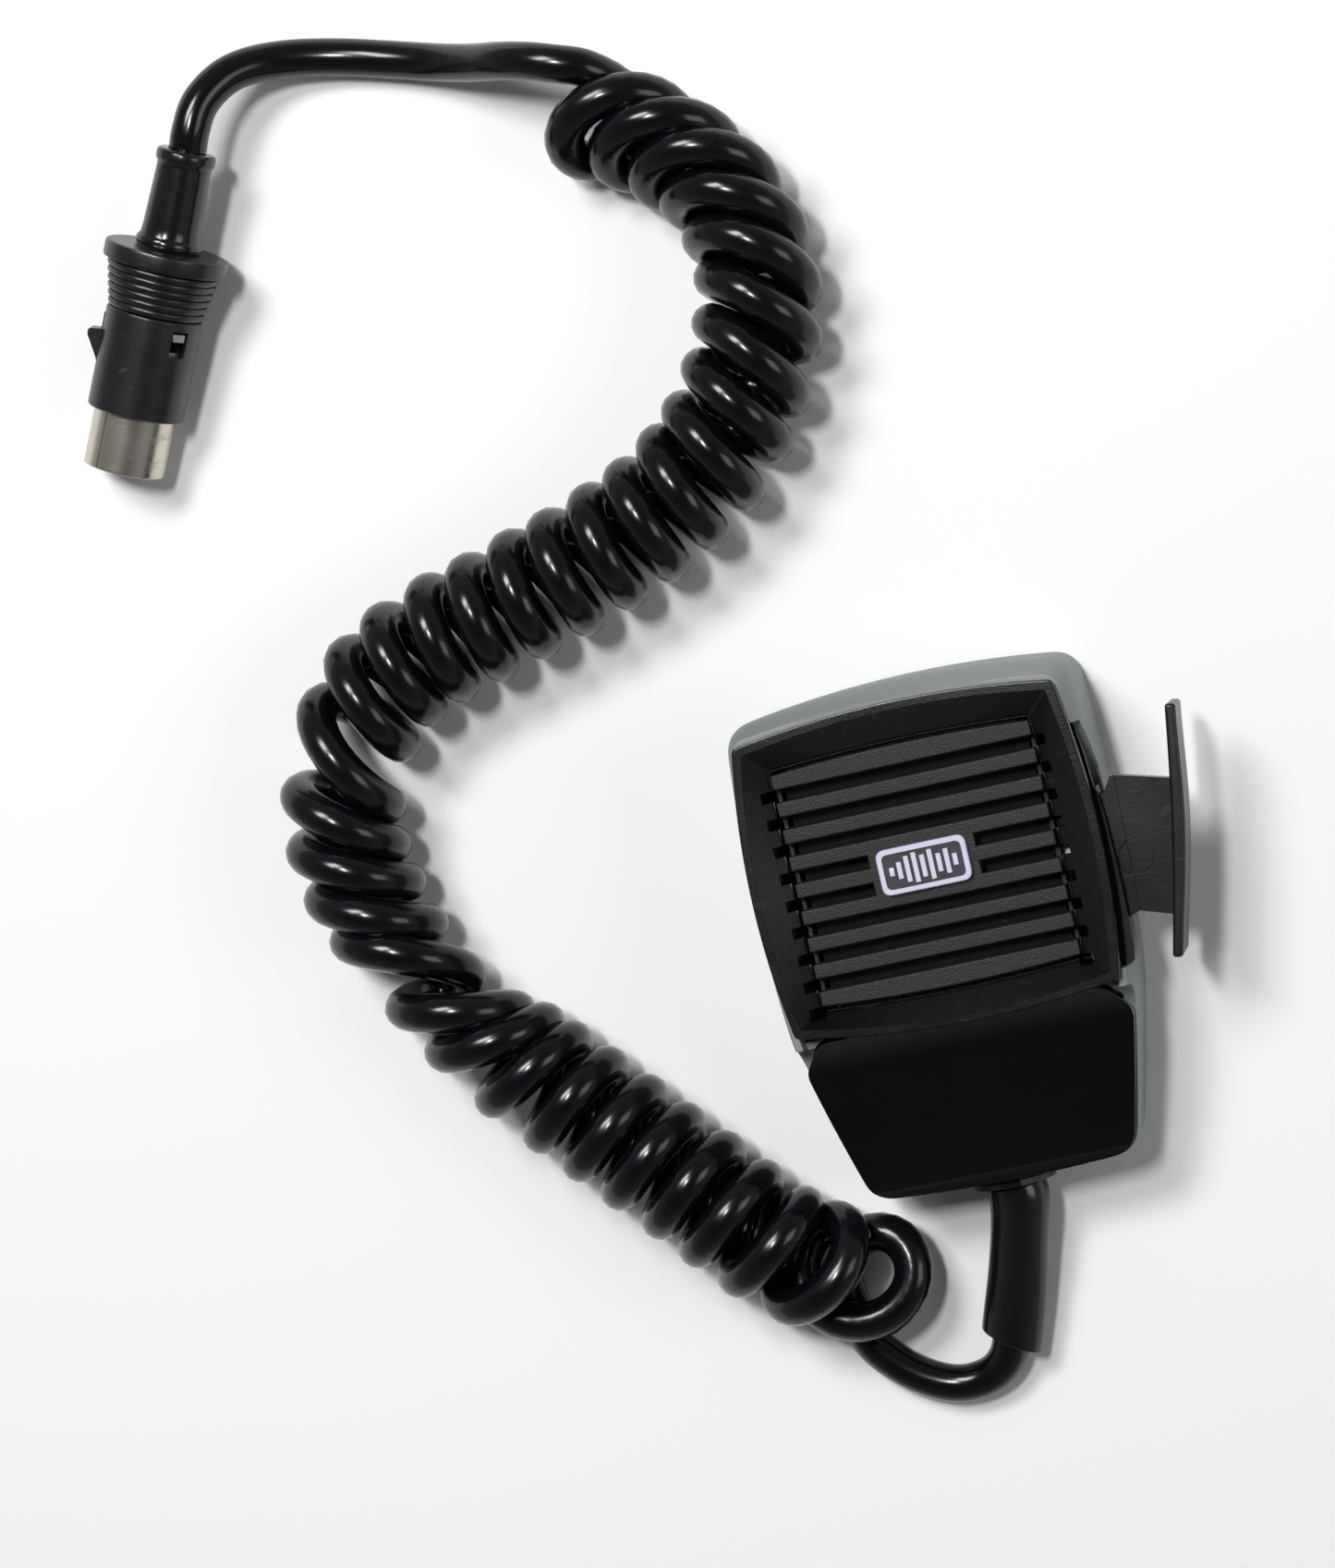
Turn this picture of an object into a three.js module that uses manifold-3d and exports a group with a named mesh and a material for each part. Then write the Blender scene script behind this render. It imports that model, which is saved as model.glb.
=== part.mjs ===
// Hand microphone with a push-to-talk lever, a curly cord and a locking DIN plug.
// Millimetres, +Z up. The microphone lies on its back, its top end towards +Y and its lever
// towards +X. Everything is drawn from the middle of the microphone's front, and the last lines
// move the whole model so that the origin is under the middle of the microphone.
import * as THREE from 'three';
import { mergeVertices } from 'three/addons/utils/BufferGeometryUtils.js';
import Module from 'manifold-3d';

const wasm = await Module();
wasm.setup();

// ---------- driving dimensions ----------
const GAP = 0.3;                 // clearance between neighbouring pieces
const CORD_R = 3.0;              // cord radius

// rear shell: outline corners as [x, y, corner trim, outward bulge of the edge that follows]
const BODY_CORNERS = [
  [20.9, -52.2, 3.6, 0.2], [26.9, -25.5, 3.0, 1.3], [26.9, 24.9, 4.5, 2.2],
  [-26.9, 24.9, 4.5, 1.3], [-26.9, -25.5, 3.0, 0.2], [-20.9, -52.2, 3.6, 0.9],
];
const RIM_CORNERS = [
  [20.4, -51.6, 3.2, 0.2], [26.3, -24.9, 2.6, 1.3], [25.7, 22.9, 2.4, 2.0],
  [-25.7, 22.9, 2.4, 1.3], [-26.3, -24.9, 2.6, 0.2], [-20.4, -51.6, 3.2, 0.9],
];
const RIM_Z = 25.3;              // front edge of the rear shell
const FLOOR_Z = 2.0;             // inside of its back wall
const WALL = 1.7;                // its side walls
const CHIN_Y = -25.6;            // where its rim drops to the chin
const CHIN_RIM_TOP = 19.2;       // rim height at the top of the chin
const CHIN_RIM_FALL = 0.195;     // how much it falls for each millimetre towards the cord
const chinRimZ = (y) => CHIN_RIM_TOP + (y + 30.2) * CHIN_RIM_FALL;

// front frame
const LIP_CORNERS = [
  [25.5, -24.3, 0.8, 2.0], [25.2, 22.2, 0.8, 2.1], [-25.2, 22.2, 0.8, 2.0], [-25.5, -23.5, 0.8, 2.3],
];
const LIP_Z = 27.0;              // highest plane of the microphone
const LIP_UNDER = 25.6;          // underside of the lip, over the shell's rim
const LIP_LAND = 1.3;            // flat width of the lip
const FRAME_FLOOR_TOP = 22.9;
const FRAME_FLOOR_UNDER = 21.4;
const WINDOW_X = 20.6;           // half opening in the frame's floor
const WINDOW_Y = 18.9;
const NOTCH = 1.7;               // square windows in its side walls, one at each end of a gap

// grille
const GRILLE_AT = [-0.4, -1.5];  // middle of the window, the grille and the badge
const BARS = 9;
const BAR_PITCH = 4.28;
const BAR_TALL = 2.3;
const BAR_X = 20.3;              // half length of a bar
const BAR_TOP_Z = 23.4;
const GRILLE_UNDER_Z = 19.4;
const GRILLE_PLATE_TOP_Z = 21.1;
const GRILLE_PLATE = [21.6, 19.9];
const BRIDGE_X = 8.4;            // half width of the solid middle that carries the badge
const ARCH = 0.8;                // bow of the first and last bars
const CORNER_CUT = 3.6;          // off each corner of the grille's plate, for the screw posts
const SLOT_FLOOR_Z = 18;         // below the grille, for cutting right through it

// chin cover
const CHIN_CORNERS = [
  [20.4, -51.8, 3.3, 0.2], [25.3, -30.7, 2.2, 0], [21.3, -26.0, 3.0, 0],
  [-21.3, -26.0, 3.0, 0], [-25.3, -30.7, 2.2, 0.2], [-20.4, -51.8, 3.3, 0.9],
];
const CHIN_WALL = 1.8;

// talk lever
const LEVER_Z = [16.0, 19.8];
const PIVOT = [23.4, -20.3];
const PADDLE_Z = [13.6, 24.6];
const PIVOT_PIN_R = 0.8;
const PLUNGER_Y = -5.0;
const PLUNGER_Z = 16.7;
const PLUNGER_R = 0.95;

// cord outlet
const OUTLET = [0.3, 8.8];       // x and z of the hole in the lower end
const SLEEVE_R = 4.6;
const SLEEVE_ROUTE = [
  [0.3, -54.9, 8.8], [0.3, -57.5, 8.6], [-0.9, -62.5, 7.6], [-3.6, -71.5, 5.8], [-6.6, -79.8, 4.9],
];

// cord: the loose ends' routes and the middle line of the curly stretch
const COIL_R = 10.9;
const MIC_TAIL = [
  [-6.8, -80.4, 4.8], [-7.5, -82.2, 4.2], [-9.6, -84.6, 3.5], [-14.4, -85.9, 3.3], [-19.8, -83.9, 3.4],
  [-23.4, -80.6, 4.0], [-25.4, -78.8, 4.6],
];
const COIL_ROUTE = [
  [-20.6, -72.4], [-26.8, -67.2], [-33.5, -61.8], [-40.4, -55.4], [-49.0, -46.0], [-58.7, -35.4],
  [-67.5, -25.9], [-76.0, -16.5], [-83.4, -7.2], [-88.9, 2.8], [-92.2, 12.8], [-92.9, 22.4],
  [-90.0, 32.8], [-83.0, 42.4], [-73.0, 47.9], [-60.0, 51.4], [-46.8, 55.0], [-33.3, 59.8],
  [-22.2, 66.4], [-14.3, 75.1], [-9.2, 85.4], [-7.6, 96.0], [-11.0, 107.8], [-18.6, 117.0],
  [-27.0, 122.6], [-36.0, 125.3],
];
const PLUG_TAIL = [
  [-34.8, 133.2, 9.0], [-37.2, 133.9, 8.3], [-41.5, 135.2, 5.4], [-48.0, 137.2, 3.4], [-58.0, 140.4, 3.3],
  [-68.0, 143.3, 3.5], [-76.6, 145.0, 5.6], [-83.6, 144.4, 9.0], [-88.7, 141.0, 11.6],
  [-91.4, 136.6, 12.4], [-92.6, 134.1, 12.1],
];

// plug: distances run from the mouth of its metal shell towards the cord
const PLUG_MOUTH = [-117.0, 87.4, 6.9];
const PLUG_YAW = 27.6;           // degrees off the microphone's own direction
const PLUG_LIFT = 5.6;           // degrees, from resting on its shell and its flange
const SHELL_R = 6.6;
const SHELL_INNER_R = 6.0;
const SHELL_LONG = 21.0;
const BARREL = [9.5, 26.0];
const BARREL_R = 7.8;
const GRIP = [26.3, 36.5];
const RIBS = 6;
const RIBS_END = 33.6;
const RIB_R = [7.7, 9.2];        // from the first rib to the last
const FLANGE_R = 10.0;
const BOOT = [36.8, 52.5];
const PIN_CIRCLE_R = 3.5;
const PIN_COUNT = 5;
const PIN_R = 0.7;
const LATCH_Y = [16.6, 24.6];

// ---------- materials ----------
const finish = (color, roughness, metalness = 0) =>
  new THREE.MeshStandardMaterial({ color, roughness, metalness });
const greyPlastic = finish(0x7a8081, 0.5);
const blackPlastic = finish(0x232325, 0.5);
const grillePlastic = finish(0x303334, 0.55);
const glossBlack = finish(0x111112, 0.2);
const cordBlack = finish(0x0d0d10, 0.2);
const rubber = finish(0x1c1b1a, 0.6);
const steel = finish(0xb8b9bb, 0.3, 1);
const nickel = finish(0xc6c2ba, 0.25, 1);
const brass = finish(0xb08d4a, 0.35, 1);
const badgeMetal = finish(0xe6e4f2, 0.35, 0.2);
const boardGreen = finish(0x2f5a3a, 0.5);
const clothBlack = finish(0x151515, 0.95);
const paleInsulator = finish(0xd8d2c0, 0.6);
const wireRed = finish(0x8c1c1c, 0.45);
const wireWhite = finish(0xd8d8d4, 0.45);
const wireYellow = finish(0xc6a528, 0.45);

// ---------- geometry helpers ----------
// A closed outline from corners joined by bowed edges, each corner cut back and rounded.
function outline(corners, inset = 0) {
  const n = corners.length;
  const shifted = corners.map((corner, i) => {
    const before = corners[(i + n - 1) % n];
    const after = corners[(i + 1) % n];
    const a = new THREE.Vector2(corner[0] - before[0], corner[1] - before[1]).normalize();
    const b = new THREE.Vector2(after[0] - corner[0], after[1] - corner[1]).normalize();
    const slip = Math.tan(Math.acos(THREE.MathUtils.clamp(a.dot(b), -1, 1)) / 2) * inset;
    return new THREE.Vector2(corner[0] - a.y * inset - a.x * slip, corner[1] + a.x * inset - a.y * slip);
  });
  const edgePoint = (i, t) => {
    const from = shifted[i];
    const to = shifted[(i + 1) % n];
    const along = to.clone().sub(from);
    const out = new THREE.Vector2(along.y, -along.x).normalize();
    return from.clone().addScaledVector(along, t).addScaledVector(out, 4 * corners[i][3] * t * (1 - t));
  };
  const points = [];
  for (let i = 0; i < n; i += 1) {
    const next = (i + 1) % n;
    const long = shifted[i].distanceTo(shifted[next]);
    const trim = (k) => Math.max(corners[k][2] - inset * 0.6, 0.3);
    const start = trim(i) / long;
    const stop = 1 - trim(next) / long;
    const edgeSteps = corners[i][3] > 0.3 ? 4 : 1;
    for (let k = 0; k <= edgeSteps; k += 1) {
      points.push(edgePoint(i, start + ((stop - start) * k) / edgeSteps));
    }
    const from = edgePoint(i, stop);
    const to = edgePoint(next, trim(next) / shifted[next].distanceTo(shifted[(next + 1) % n]));
    const bend = new THREE.QuadraticBezierCurve(from, shifted[next], to);
    points.push(...bend.getPoints(3).slice(1, -1));
  }
  return points;
}

// The same outline part of the way from one set of corners to another.
function blendCorners(from, to, t) {
  return from.map((corner, i) => corner.map((value, k) => THREE.MathUtils.lerp(value, to[i][k], t)));
}

// A closed solid through outlines stacked along Z, each given as [z, points].
function loft(sections) {
  const count = sections[0][1].length;
  const positions = sections.flatMap(([z, points]) => points.flatMap((p) => [p.x, p.y, z]));
  const index = [];
  for (let s = 0; s + 1 < sections.length; s += 1) {
    for (let k = 0; k < count; k += 1) {
      const a = s * count + k;
      const b = s * count + ((k + 1) % count);
      index.push(a, b, b + count, a, b + count, a + count);
    }
  }
  const last = (sections.length - 1) * count;
  for (const [a, b, c] of THREE.ShapeUtils.triangulateShape(sections[0][1], [])) index.push(c, b, a);
  for (const [a, b, c] of THREE.ShapeUtils.triangulateShape(sections.at(-1)[1], [])) {
    index.push(last + a, last + b, last + c);
  }
  const geometry = new THREE.BufferGeometry();
  geometry.setAttribute('position', new THREE.Float32BufferAttribute(positions, 3));
  geometry.setIndex(index);
  return geometry;
}

function merged(geometry) {
  const plain = geometry.clone();
  plain.deleteAttribute('normal');
  plain.deleteAttribute('uv');
  return mergeVertices(plain, 1e-4);
}

function toSolid(geometry) {
  const mesh = merged(geometry);
  return new wasm.Manifold(new wasm.Mesh({
    numProp: 3,
    vertProperties: Float32Array.from(mesh.attributes.position.array),
    triVerts: Uint32Array.from(mesh.index.array),
  }));
}

function toGeometry(solid) {
  const mesh = solid.getMesh();
  const geometry = new THREE.BufferGeometry();
  geometry.setAttribute('position', new THREE.BufferAttribute(mesh.vertProperties, 3));
  geometry.setIndex(new THREE.BufferAttribute(mesh.triVerts, 1));
  return geometry;
}

const cut = (geometry, ...tools) =>
  toGeometry(tools.reduce((solid, tool) => solid.subtract(toSolid(tool)), toSolid(geometry)));
const join = (geometry, ...others) =>
  toGeometry(others.reduce((solid, other) => solid.add(toSolid(other)), toSolid(geometry)));
const common = (geometry, other) => toGeometry(toSolid(geometry).intersect(toSolid(other)));

const box = (x0, x1, y0, y1, z0, z1) =>
  new THREE.BoxGeometry(x1 - x0, y1 - y0, z1 - z0)
    .translate((x0 + x1) / 2, (y0 + y1) / 2, (z0 + z1) / 2);
const rod = (long, radius, sides) => new THREE.CylinderGeometry(radius, radius, long, sides);
const post = (x, y, z0, z1, radius, sides = 20) =>
  rod(z1 - z0, radius, sides).rotateX(Math.PI / 2).translate(x, y, (z0 + z1) / 2);
const rodX = (x0, x1, y, z, radius, sides = 16) =>
  rod(x1 - x0, radius, sides).rotateZ(Math.PI / 2).translate((x0 + x1) / 2, y, z);
const rodY = (x, y0, y1, z, radius, sides = 20) =>
  rod(y1 - y0, radius, sides).translate(x, (y0 + y1) / 2, z);

// A plate with a polygon outline in X and Y.
function plate(points, z0, z1) {
  const shape = new THREE.Shape(points.map(([x, y]) => new THREE.Vector2(x, y)));
  return new THREE.ExtrudeGeometry(shape, { depth: z1 - z0, bevelEnabled: false }).translate(0, 0, z0);
}

// A side profile in Y and Z, drawn out along X.
function sideProfile(points, x0, x1) {
  const shape = new THREE.Shape(points.map(([y, z]) => new THREE.Vector2(y, z)));
  const geometry = new THREE.ExtrudeGeometry(shape, { depth: x1 - x0, bevelEnabled: false });
  const turn = new THREE.Matrix4().set(0, 0, 1, x0, 1, 0, 0, 0, 0, 1, 0, 0, 0, 0, 0, 1);
  return geometry.applyMatrix4(turn);
}

function tubeAlong(points, radius, sides, steps) {
  const curve = new THREE.CatmullRomCurve3(points.map((p) => new THREE.Vector3(...p)), false, 'centripetal');
  const circle = new THREE.Shape(Array.from({ length: sides }, (_, k) => {
    const angle = (k / sides) * Math.PI * 2;
    return new THREE.Vector2(Math.cos(angle) * radius, Math.sin(angle) * radius);
  }));
  return new THREE.ExtrudeGeometry(circle, { steps, extrudePath: curve, bevelEnabled: false });
}

const turned = (profile, sides) =>
  new THREE.LatheGeometry(profile.map(([r, y]) => new THREE.Vector2(r, y)), sides);

const model = new THREE.Group();
function add(name, geometry, material, parent = model) {
  const mesh = new THREE.Mesh(geometry, material);
  mesh.name = name;
  parent.add(mesh);
  return mesh;
}

// ---------- rear shell ----------
const SHELL_SCREWS = [[-22.1, 19.2], [22.1, 19.2], [-13.5, -46.4], [13.5, -46.4]];
const SHELL_BOSS_TOP = [16.6, 16.6, 11.4, 11.4];
const SHELL_SCREW_TIP = [20.6, 20.6, 15.6, 15.6];
const SCREW_HEAD_R = 2.8;
const SCREW_SHANK_R = 1.3;
const SCREW_HOLE_R = 1.65;
const HEAD_SEAT_Z = 1.9;         // how deep the heads are sunk in the back
const FAR = 30;                  // beyond every surface, for cutting right through
const BOARD_SCREWS = [[-17.5, 13.5], [-17.5, -14.5]];
const CLAMP_SCREWS = [[-6.0, -42.5], [6.6, -42.5]];

function rearShell() {
  const section = (z, t, inset) => [z, outline(blendCorners(BODY_CORNERS, RIM_CORNERS, t), inset)];
  const outside = loft([
    section(0, 0, 2.0), section(0.8, 0, 0.9), section(2.4, 0, 0.2), section(14, 0, 0),
    section(20.5, 0.1, 0), section(23.2, 0.35, 0), section(24.6, 0.68, 0), section(RIM_Z, 1, 0.1),
  ]);
  const inside = loft([
    section(FLOOR_Z, 0, WALL + 0.6), section(FLOOR_Z + 1, 0, WALL), section(20.5, 0.1, WALL),
    section(RIM_Z + 0.1, 1, 1.2),
  ]);
  const chinDrop = sideProfile([
    [CHIN_Y, FAR], [CHIN_Y, 24.6], [-26.4, 22.6], [-27.9, 20.8], [-30.2, CHIN_RIM_TOP],
    [-60, chinRimZ(-60)], [-60, FAR],
  ], -40, 40);
  const shoulders = common(
    join(box(18.5, 30, -31.6, -24.8, 11, RIM_Z - 0.4), box(-30, -18.5, -31.6, -24.8, 11, RIM_Z - 0.4)),
    loft([section(10, 0, 0.4), section(20.5, 0.1, 0.4), section(RIM_Z, 1, 0.5)]),
  );
  const chinHole = outline(CHIN_CORNERS, -GAP - 0.1);
  const chinRoom = loft([[9, chinHole], [FAR, chinHole]]);
  const leverSlot = sideProfile([
    [-22.9, 15.6], [5.0, 15.6], [15.1, 21.6], [15.1, FAR], [-22.9, FAR],
  ], 20, 34);
  let geometry = cut(outside, inside);
  geometry = join(geometry, cut(shoulders, chinRoom));
  SHELL_SCREWS.forEach(([x, y], i) => {
    geometry = join(geometry, post(x, y, FLOOR_Z - 1, SHELL_BOSS_TOP[i], 2.9, 16));
  });
  for (const [x, y] of BOARD_SCREWS) geometry = join(geometry, post(x, y, FLOOR_Z - 1, 5.2, 2.3, 12));
  for (const [x, y] of CLAMP_SCREWS) geometry = join(geometry, post(x, y, FLOOR_Z - 1, 6.4, 2.4, 12));
  geometry = join(geometry, post(...PIVOT, FLOOR_Z - 1, 11.8, 2.4, 16));
  geometry = join(geometry, post(0, 2, FLOOR_Z - 1, 4.8, 5.0, 20));
  const holes = [chinDrop, leverSlot];
  for (const [x, y] of SHELL_SCREWS) {
    holes.push(post(x, y, -1, FAR, SCREW_HOLE_R, 12), post(x, y, -1, HEAD_SEAT_Z, SCREW_HEAD_R + GAP, 16));
  }
  for (const [x, y] of BOARD_SCREWS) holes.push(post(x, y, 2.6, 6, 1.1, 10));
  for (const [x, y] of CLAMP_SCREWS) holes.push(post(x, y, 2.6, 7, 1.3, 10));
  holes.push(post(...PIVOT, 7.6, 12, PIVOT_PIN_R + 0.4, 12), post(0, 2, -1, 6, 3.3, 20));
  holes.push(rodY(OUTLET[0], -60, -48, OUTLET[1], 5.4, 20));
  return cut(geometry, ...holes);
}
add('rear_shell', rearShell(), greyPlastic);

// brass nut in the back wall for a hang-up stud
function studInsert() {
  const nut = new THREE.CylinderGeometry(3.0, 3.0, 4.2, 6).rotateX(Math.PI / 2).translate(0, 2, 2.4);
  return cut(nut, post(0, 2, -1, 6, 1.6, 12));
}
add('stud_insert', studInsert(), brass);

SHELL_SCREWS.forEach(([x, y], i) => {
  const head = post(x, y, GAP, HEAD_SEAT_Z - GAP, SCREW_HEAD_R, 16);
  const shank = post(x, y, 1.4, SHELL_SCREW_TIP[i], SCREW_SHANK_R, 10);
  add(`case_screw_${i + 1}`, join(head, shank), steel);
});

// ---------- front frame ----------
function frontFrame() {
  const lip = outline(LIP_CORNERS);
  const under = outline(LIP_CORNERS, 1.8);
  const [gx, gy] = GRILLE_AT;
  const windowCorners = [
    [gx + WINDOW_X, gy - WINDOW_Y, 0.8, ARCH / 2], [gx + WINDOW_X, gy + WINDOW_Y, 0.8, ARCH],
    [gx - WINDOW_X, gy + WINDOW_Y, 0.8, ARCH / 2], [gx - WINDOW_X, gy - WINDOW_Y, 0.8, ARCH],
  ];
  const outside = loft([
    [FRAME_FLOOR_UNDER, outline(windowCorners, -1.7)], [LIP_UNDER - 0.8, under],
    [LIP_UNDER, outline(LIP_CORNERS, 1.5)], [LIP_UNDER + 0.02, lip], [LIP_Z - 0.25, lip],
    [LIP_Z, outline(LIP_CORNERS, 0.25)],
  ]);
  const funnel = loft([
    [FRAME_FLOOR_TOP, outline(windowCorners, -0.1)], [LIP_Z - 0.2, outline(LIP_CORNERS, LIP_LAND)],
    [LIP_Z + 1, outline(LIP_CORNERS, LIP_LAND)],
  ]);
  const opening = loft([[FRAME_FLOOR_UNDER - 1, outline(windowCorners)], [LIP_Z, outline(windowCorners)]]);
  let geometry = cut(outside, funnel);
  for (const [x, y] of SHELL_SCREWS.slice(0, 2)) {
    geometry = join(geometry, post(x, y, SHELL_BOSS_TOP[0] + GAP, 23.2, 2.3, 16));
  }
  geometry = cut(geometry, opening);
  const holes = SHELL_SCREWS.slice(0, 2).map(([x, y]) => post(x, y, 16, 21.2, SCREW_HOLE_R, 10));
  for (let i = 0; i < BARS; i += 1) {
    const y = (i - BARS / 2) * BAR_PITCH + 0.1;
    const notch = box(-NOTCH, NOTCH, y - NOTCH / 2, y + NOTCH / 2, 22.2, LIP_Z);
    holes.push(notch.clone().translate(gx + WINDOW_X, gy, 0), notch.translate(gx - WINDOW_X, gy, 0));
  }
  return cut(geometry, ...holes);
}
add('front_frame', frontFrame(), blackPlastic);

// ---------- grille ----------
function grille() {
  const [px, py] = GRILLE_PLATE;
  const c = CORNER_CUT;
  const base = plate([
    [px, -py + c], [px, py - c], [px - c, py], [-px + c, py], [-px, py - c], [-px, -py + c],
    [-px + c, -py], [px - c, -py],
  ], GRILLE_UNDER_Z, GRILLE_PLATE_TOP_Z);
  const fieldHalf = ((BARS - 1) / 2) * BAR_PITCH + BAR_TALL / 2;
  const arched = [
    [BAR_X, -fieldHalf, 0.4, 0], [BAR_X, fieldHalf, 0.4, ARCH], [-BAR_X, fieldHalf, 0.4, 0],
    [-BAR_X, -fieldHalf, 0.4, ARCH],
  ];
  const raised = loft([[GRILLE_PLATE_TOP_Z - 0.4, outline(arched)], [BAR_TOP_Z, outline(arched)]]);
  const slots = [];
  for (let i = 0; i < BARS - 1; i += 1) {
    const middle = (i - (BARS - 2) / 2) * BAR_PITCH;
    const half = (BAR_PITCH - BAR_TALL) / 2;
    const besideBadge = i === BARS / 2 - 1.5 || i === BARS / 2 - 0.5;
    const spans = besideBadge ? [[-FAR, -BRIDGE_X], [BRIDGE_X, FAR]] : [[-FAR, FAR]];
    for (const [x0, x1] of spans) {
      const through = [Math.max(x0, 0.9 - BAR_X), Math.min(x1, BAR_X - 0.9)];
      slots.push(box(...through, middle - half, middle + half, SLOT_FLOOR_Z, 22.2));
      slots.push(box(x0, x1, middle - half, middle + half, GRILLE_PLATE_TOP_Z, FAR));
    }
  }
  return cut(join(base, raised), ...slots).translate(...GRILLE_AT, 0);
}
add('grille', grille(), grillePlastic);

const BADGE_CORNERS = [[7.1, -3.6, 1.5, 0], [7.1, 3.6, 1.5, 0], [-7.1, 3.6, 1.5, 0], [-7.1, -3.6, 1.5, 0]];
const BADGE_Z = BAR_TOP_Z + GAP;
add('badge_plate', loft([
  [BADGE_Z, outline(BADGE_CORNERS)], [BADGE_Z + 0.6, outline(BADGE_CORNERS)],
  [BADGE_Z + 0.8, outline(BADGE_CORNERS, 0.25)],
]).translate(...GRILLE_AT, 0), badgeMetal);

const CLOTH_X = 19.4;            // half sizes of the cloth behind the bars
const CLOTH_Y = 17.9;
const CLOTH_Z = [18.55, GRILLE_UNDER_Z - GAP];
const cloth = box(-CLOTH_X, CLOTH_X, -CLOTH_Y, CLOTH_Y, ...CLOTH_Z);
add('dust_screen', cloth.translate(...GRILLE_AT, 0), clothBlack);

// ---------- chin cover ----------
function chinCover() {
  const topLine = [
    [-26.0, 24.9], [-26.9, 24.3], [-28.4, 23.1], [-30.9, 22.1], [-41, 20.3], [-49.6, 18.5], [-53, 17.3],
  ];
  const lowLine = [[-53, chinRimZ(-53) + 1.2], [-30.9, 19.9], [-28.4, 21.0], [-26.0, 22.0]];
  const edgeLine = [
    [-53, chinRimZ(-53) + GAP + 0.05], [-30.9, chinRimZ(-30.9) + GAP + 0.15], [-28, 21.2], [-26.0, 23.2],
  ];
  const profile = sideProfile([...topLine, ...lowLine], -40, 40);
  const body = sideProfile([...topLine, ...edgeLine], -40, 40);
  const skirt = loft([[10, outline(CHIN_CORNERS)], [FAR, outline(CHIN_CORNERS)]]);
  const room = loft([[9, outline(CHIN_CORNERS, CHIN_WALL)], [FAR, outline(CHIN_CORNERS, CHIN_WALL)]]);
  const roof = sideProfile([
    [-20, 23.0], [-28.4, 21.4], [-30.9, 20.5], [-49.6, 16.9], [-56, 15.2], [-56, 9], [-20, 9],
  ], -40, 40);
  let geometry = common(skirt, body);
  geometry = cut(geometry, common(room, roof));
  geometry = join(geometry, common(skirt, profile));
  for (const [x, y] of SHELL_SCREWS.slice(2)) {
    geometry = join(geometry, post(x, y, 11.8, 18.2, 2.6, 16));
    geometry = cut(geometry, post(x, y, 11, 16.2, SCREW_HOLE_R, 10));
  }
  return geometry;
}
add('chin_cover', chinCover(), glossBlack);

// ---------- talk lever ----------
function pttLever() {
  const [z0, z1] = LEVER_Z;
  const bar = plate([[25.0, -19.5], [25.0, 4.4], [27.4, 4.4], [27.4, -22.2], [24.4, -22.4]], z0, z1);
  const lug = post(...PIVOT, z0, z1, 2.4, 20);
  const thick = plate([[26.4, -16.9], [30.9, -15.2], [31.4, 6.0], [28.4, 3.4], [26.4, 3.0]], z0, z1);
  const web = plate([[30.4, -15.3], [36.6, -17.4], [39.9, 3.2], [31.2, 6.0]], z0 + 1.0, z1 - 0.7);
  const paddleOutline = [
    [41.6, 14.6], [40.5, 9.0], [39.2, 2.0], [37.5, -7.0], [35.7, -16.0], [34.5, -22.6], [35.2, -23.2],
    [36.1, -22.8], [37.4, -16.3], [39.2, -7.2], [40.9, 1.8], [42.2, 8.8], [43.1, 14.4], [42.4, 15.0],
  ].reverse();
  const paddle = plate(paddleOutline, PADDLE_Z[0], PADDLE_Z[1]);
  return cut(join(bar, lug, thick, web, paddle), post(...PIVOT, z0 - 1, z1 + 1, PIVOT_PIN_R + 0.4, 16));
}
add('ptt_lever', pttLever(), blackPlastic);
add('ptt_pivot_pin', post(...PIVOT, 7.9, 20.8, PIVOT_PIN_R, 14), steel);

function leverSpring() {
  const radius = 1.4;
  const stepsPerTurn = 8;
  const turns = 3.25;
  const points = [[PIVOT[0] - 4.6, PIVOT[1] - radius, 12.9]];
  for (let k = 0; k <= turns * stepsPerTurn; k += 1) {
    const angle = (k / stepsPerTurn - 0.25) * Math.PI * 2;
    points.push([PIVOT[0] + radius * Math.cos(angle), PIVOT[1] + radius * Math.sin(angle), 12.6 + k * 0.1]);
  }
  points.push([PIVOT[0] + radius - 0.6, PIVOT[1] + 6.0, 15.3]);
  return tubeAlong(points, 0.3, 5, 44);
}
add('lever_spring', leverSpring(), steel);

// ---------- inside ----------
const BOARD_Z = [5.5, 7.1];
const ON_BOARD_Z = BOARD_Z[1] + GAP;
function circuitBoard() {
  const board = box(-20.5, 20.5, -17.5, 16.5, BOARD_Z[0], BOARD_Z[1]);
  const holes = BOARD_SCREWS.map(([x, y]) => post(x, y, 5, 8, 1.4, 12));
  return cut(board, ...holes);
}
add('circuit_board', circuitBoard(), boardGreen);
BOARD_SCREWS.forEach(([x, y], i) => {
  add(`board_screw_${i + 1}`, join(post(x, y, ON_BOARD_Z, 8.6, 2.0, 12), post(x, y, 2.9, 7.6, 0.8, 10)), steel);
});
function pttSwitch() {
  const body = box(13.6, 20.4, -10.5, 0.5, ON_BOARD_Z, 18.2);
  return cut(body, rodX(16.6, 21, PLUNGER_Y, PLUNGER_Z, PLUNGER_R + GAP));
}
add('ptt_switch', pttSwitch(), blackPlastic);
add('switch_plunger', rodX(18.9, 24.6, PLUNGER_Y, PLUNGER_Z, PLUNGER_R), wireWhite);

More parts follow.
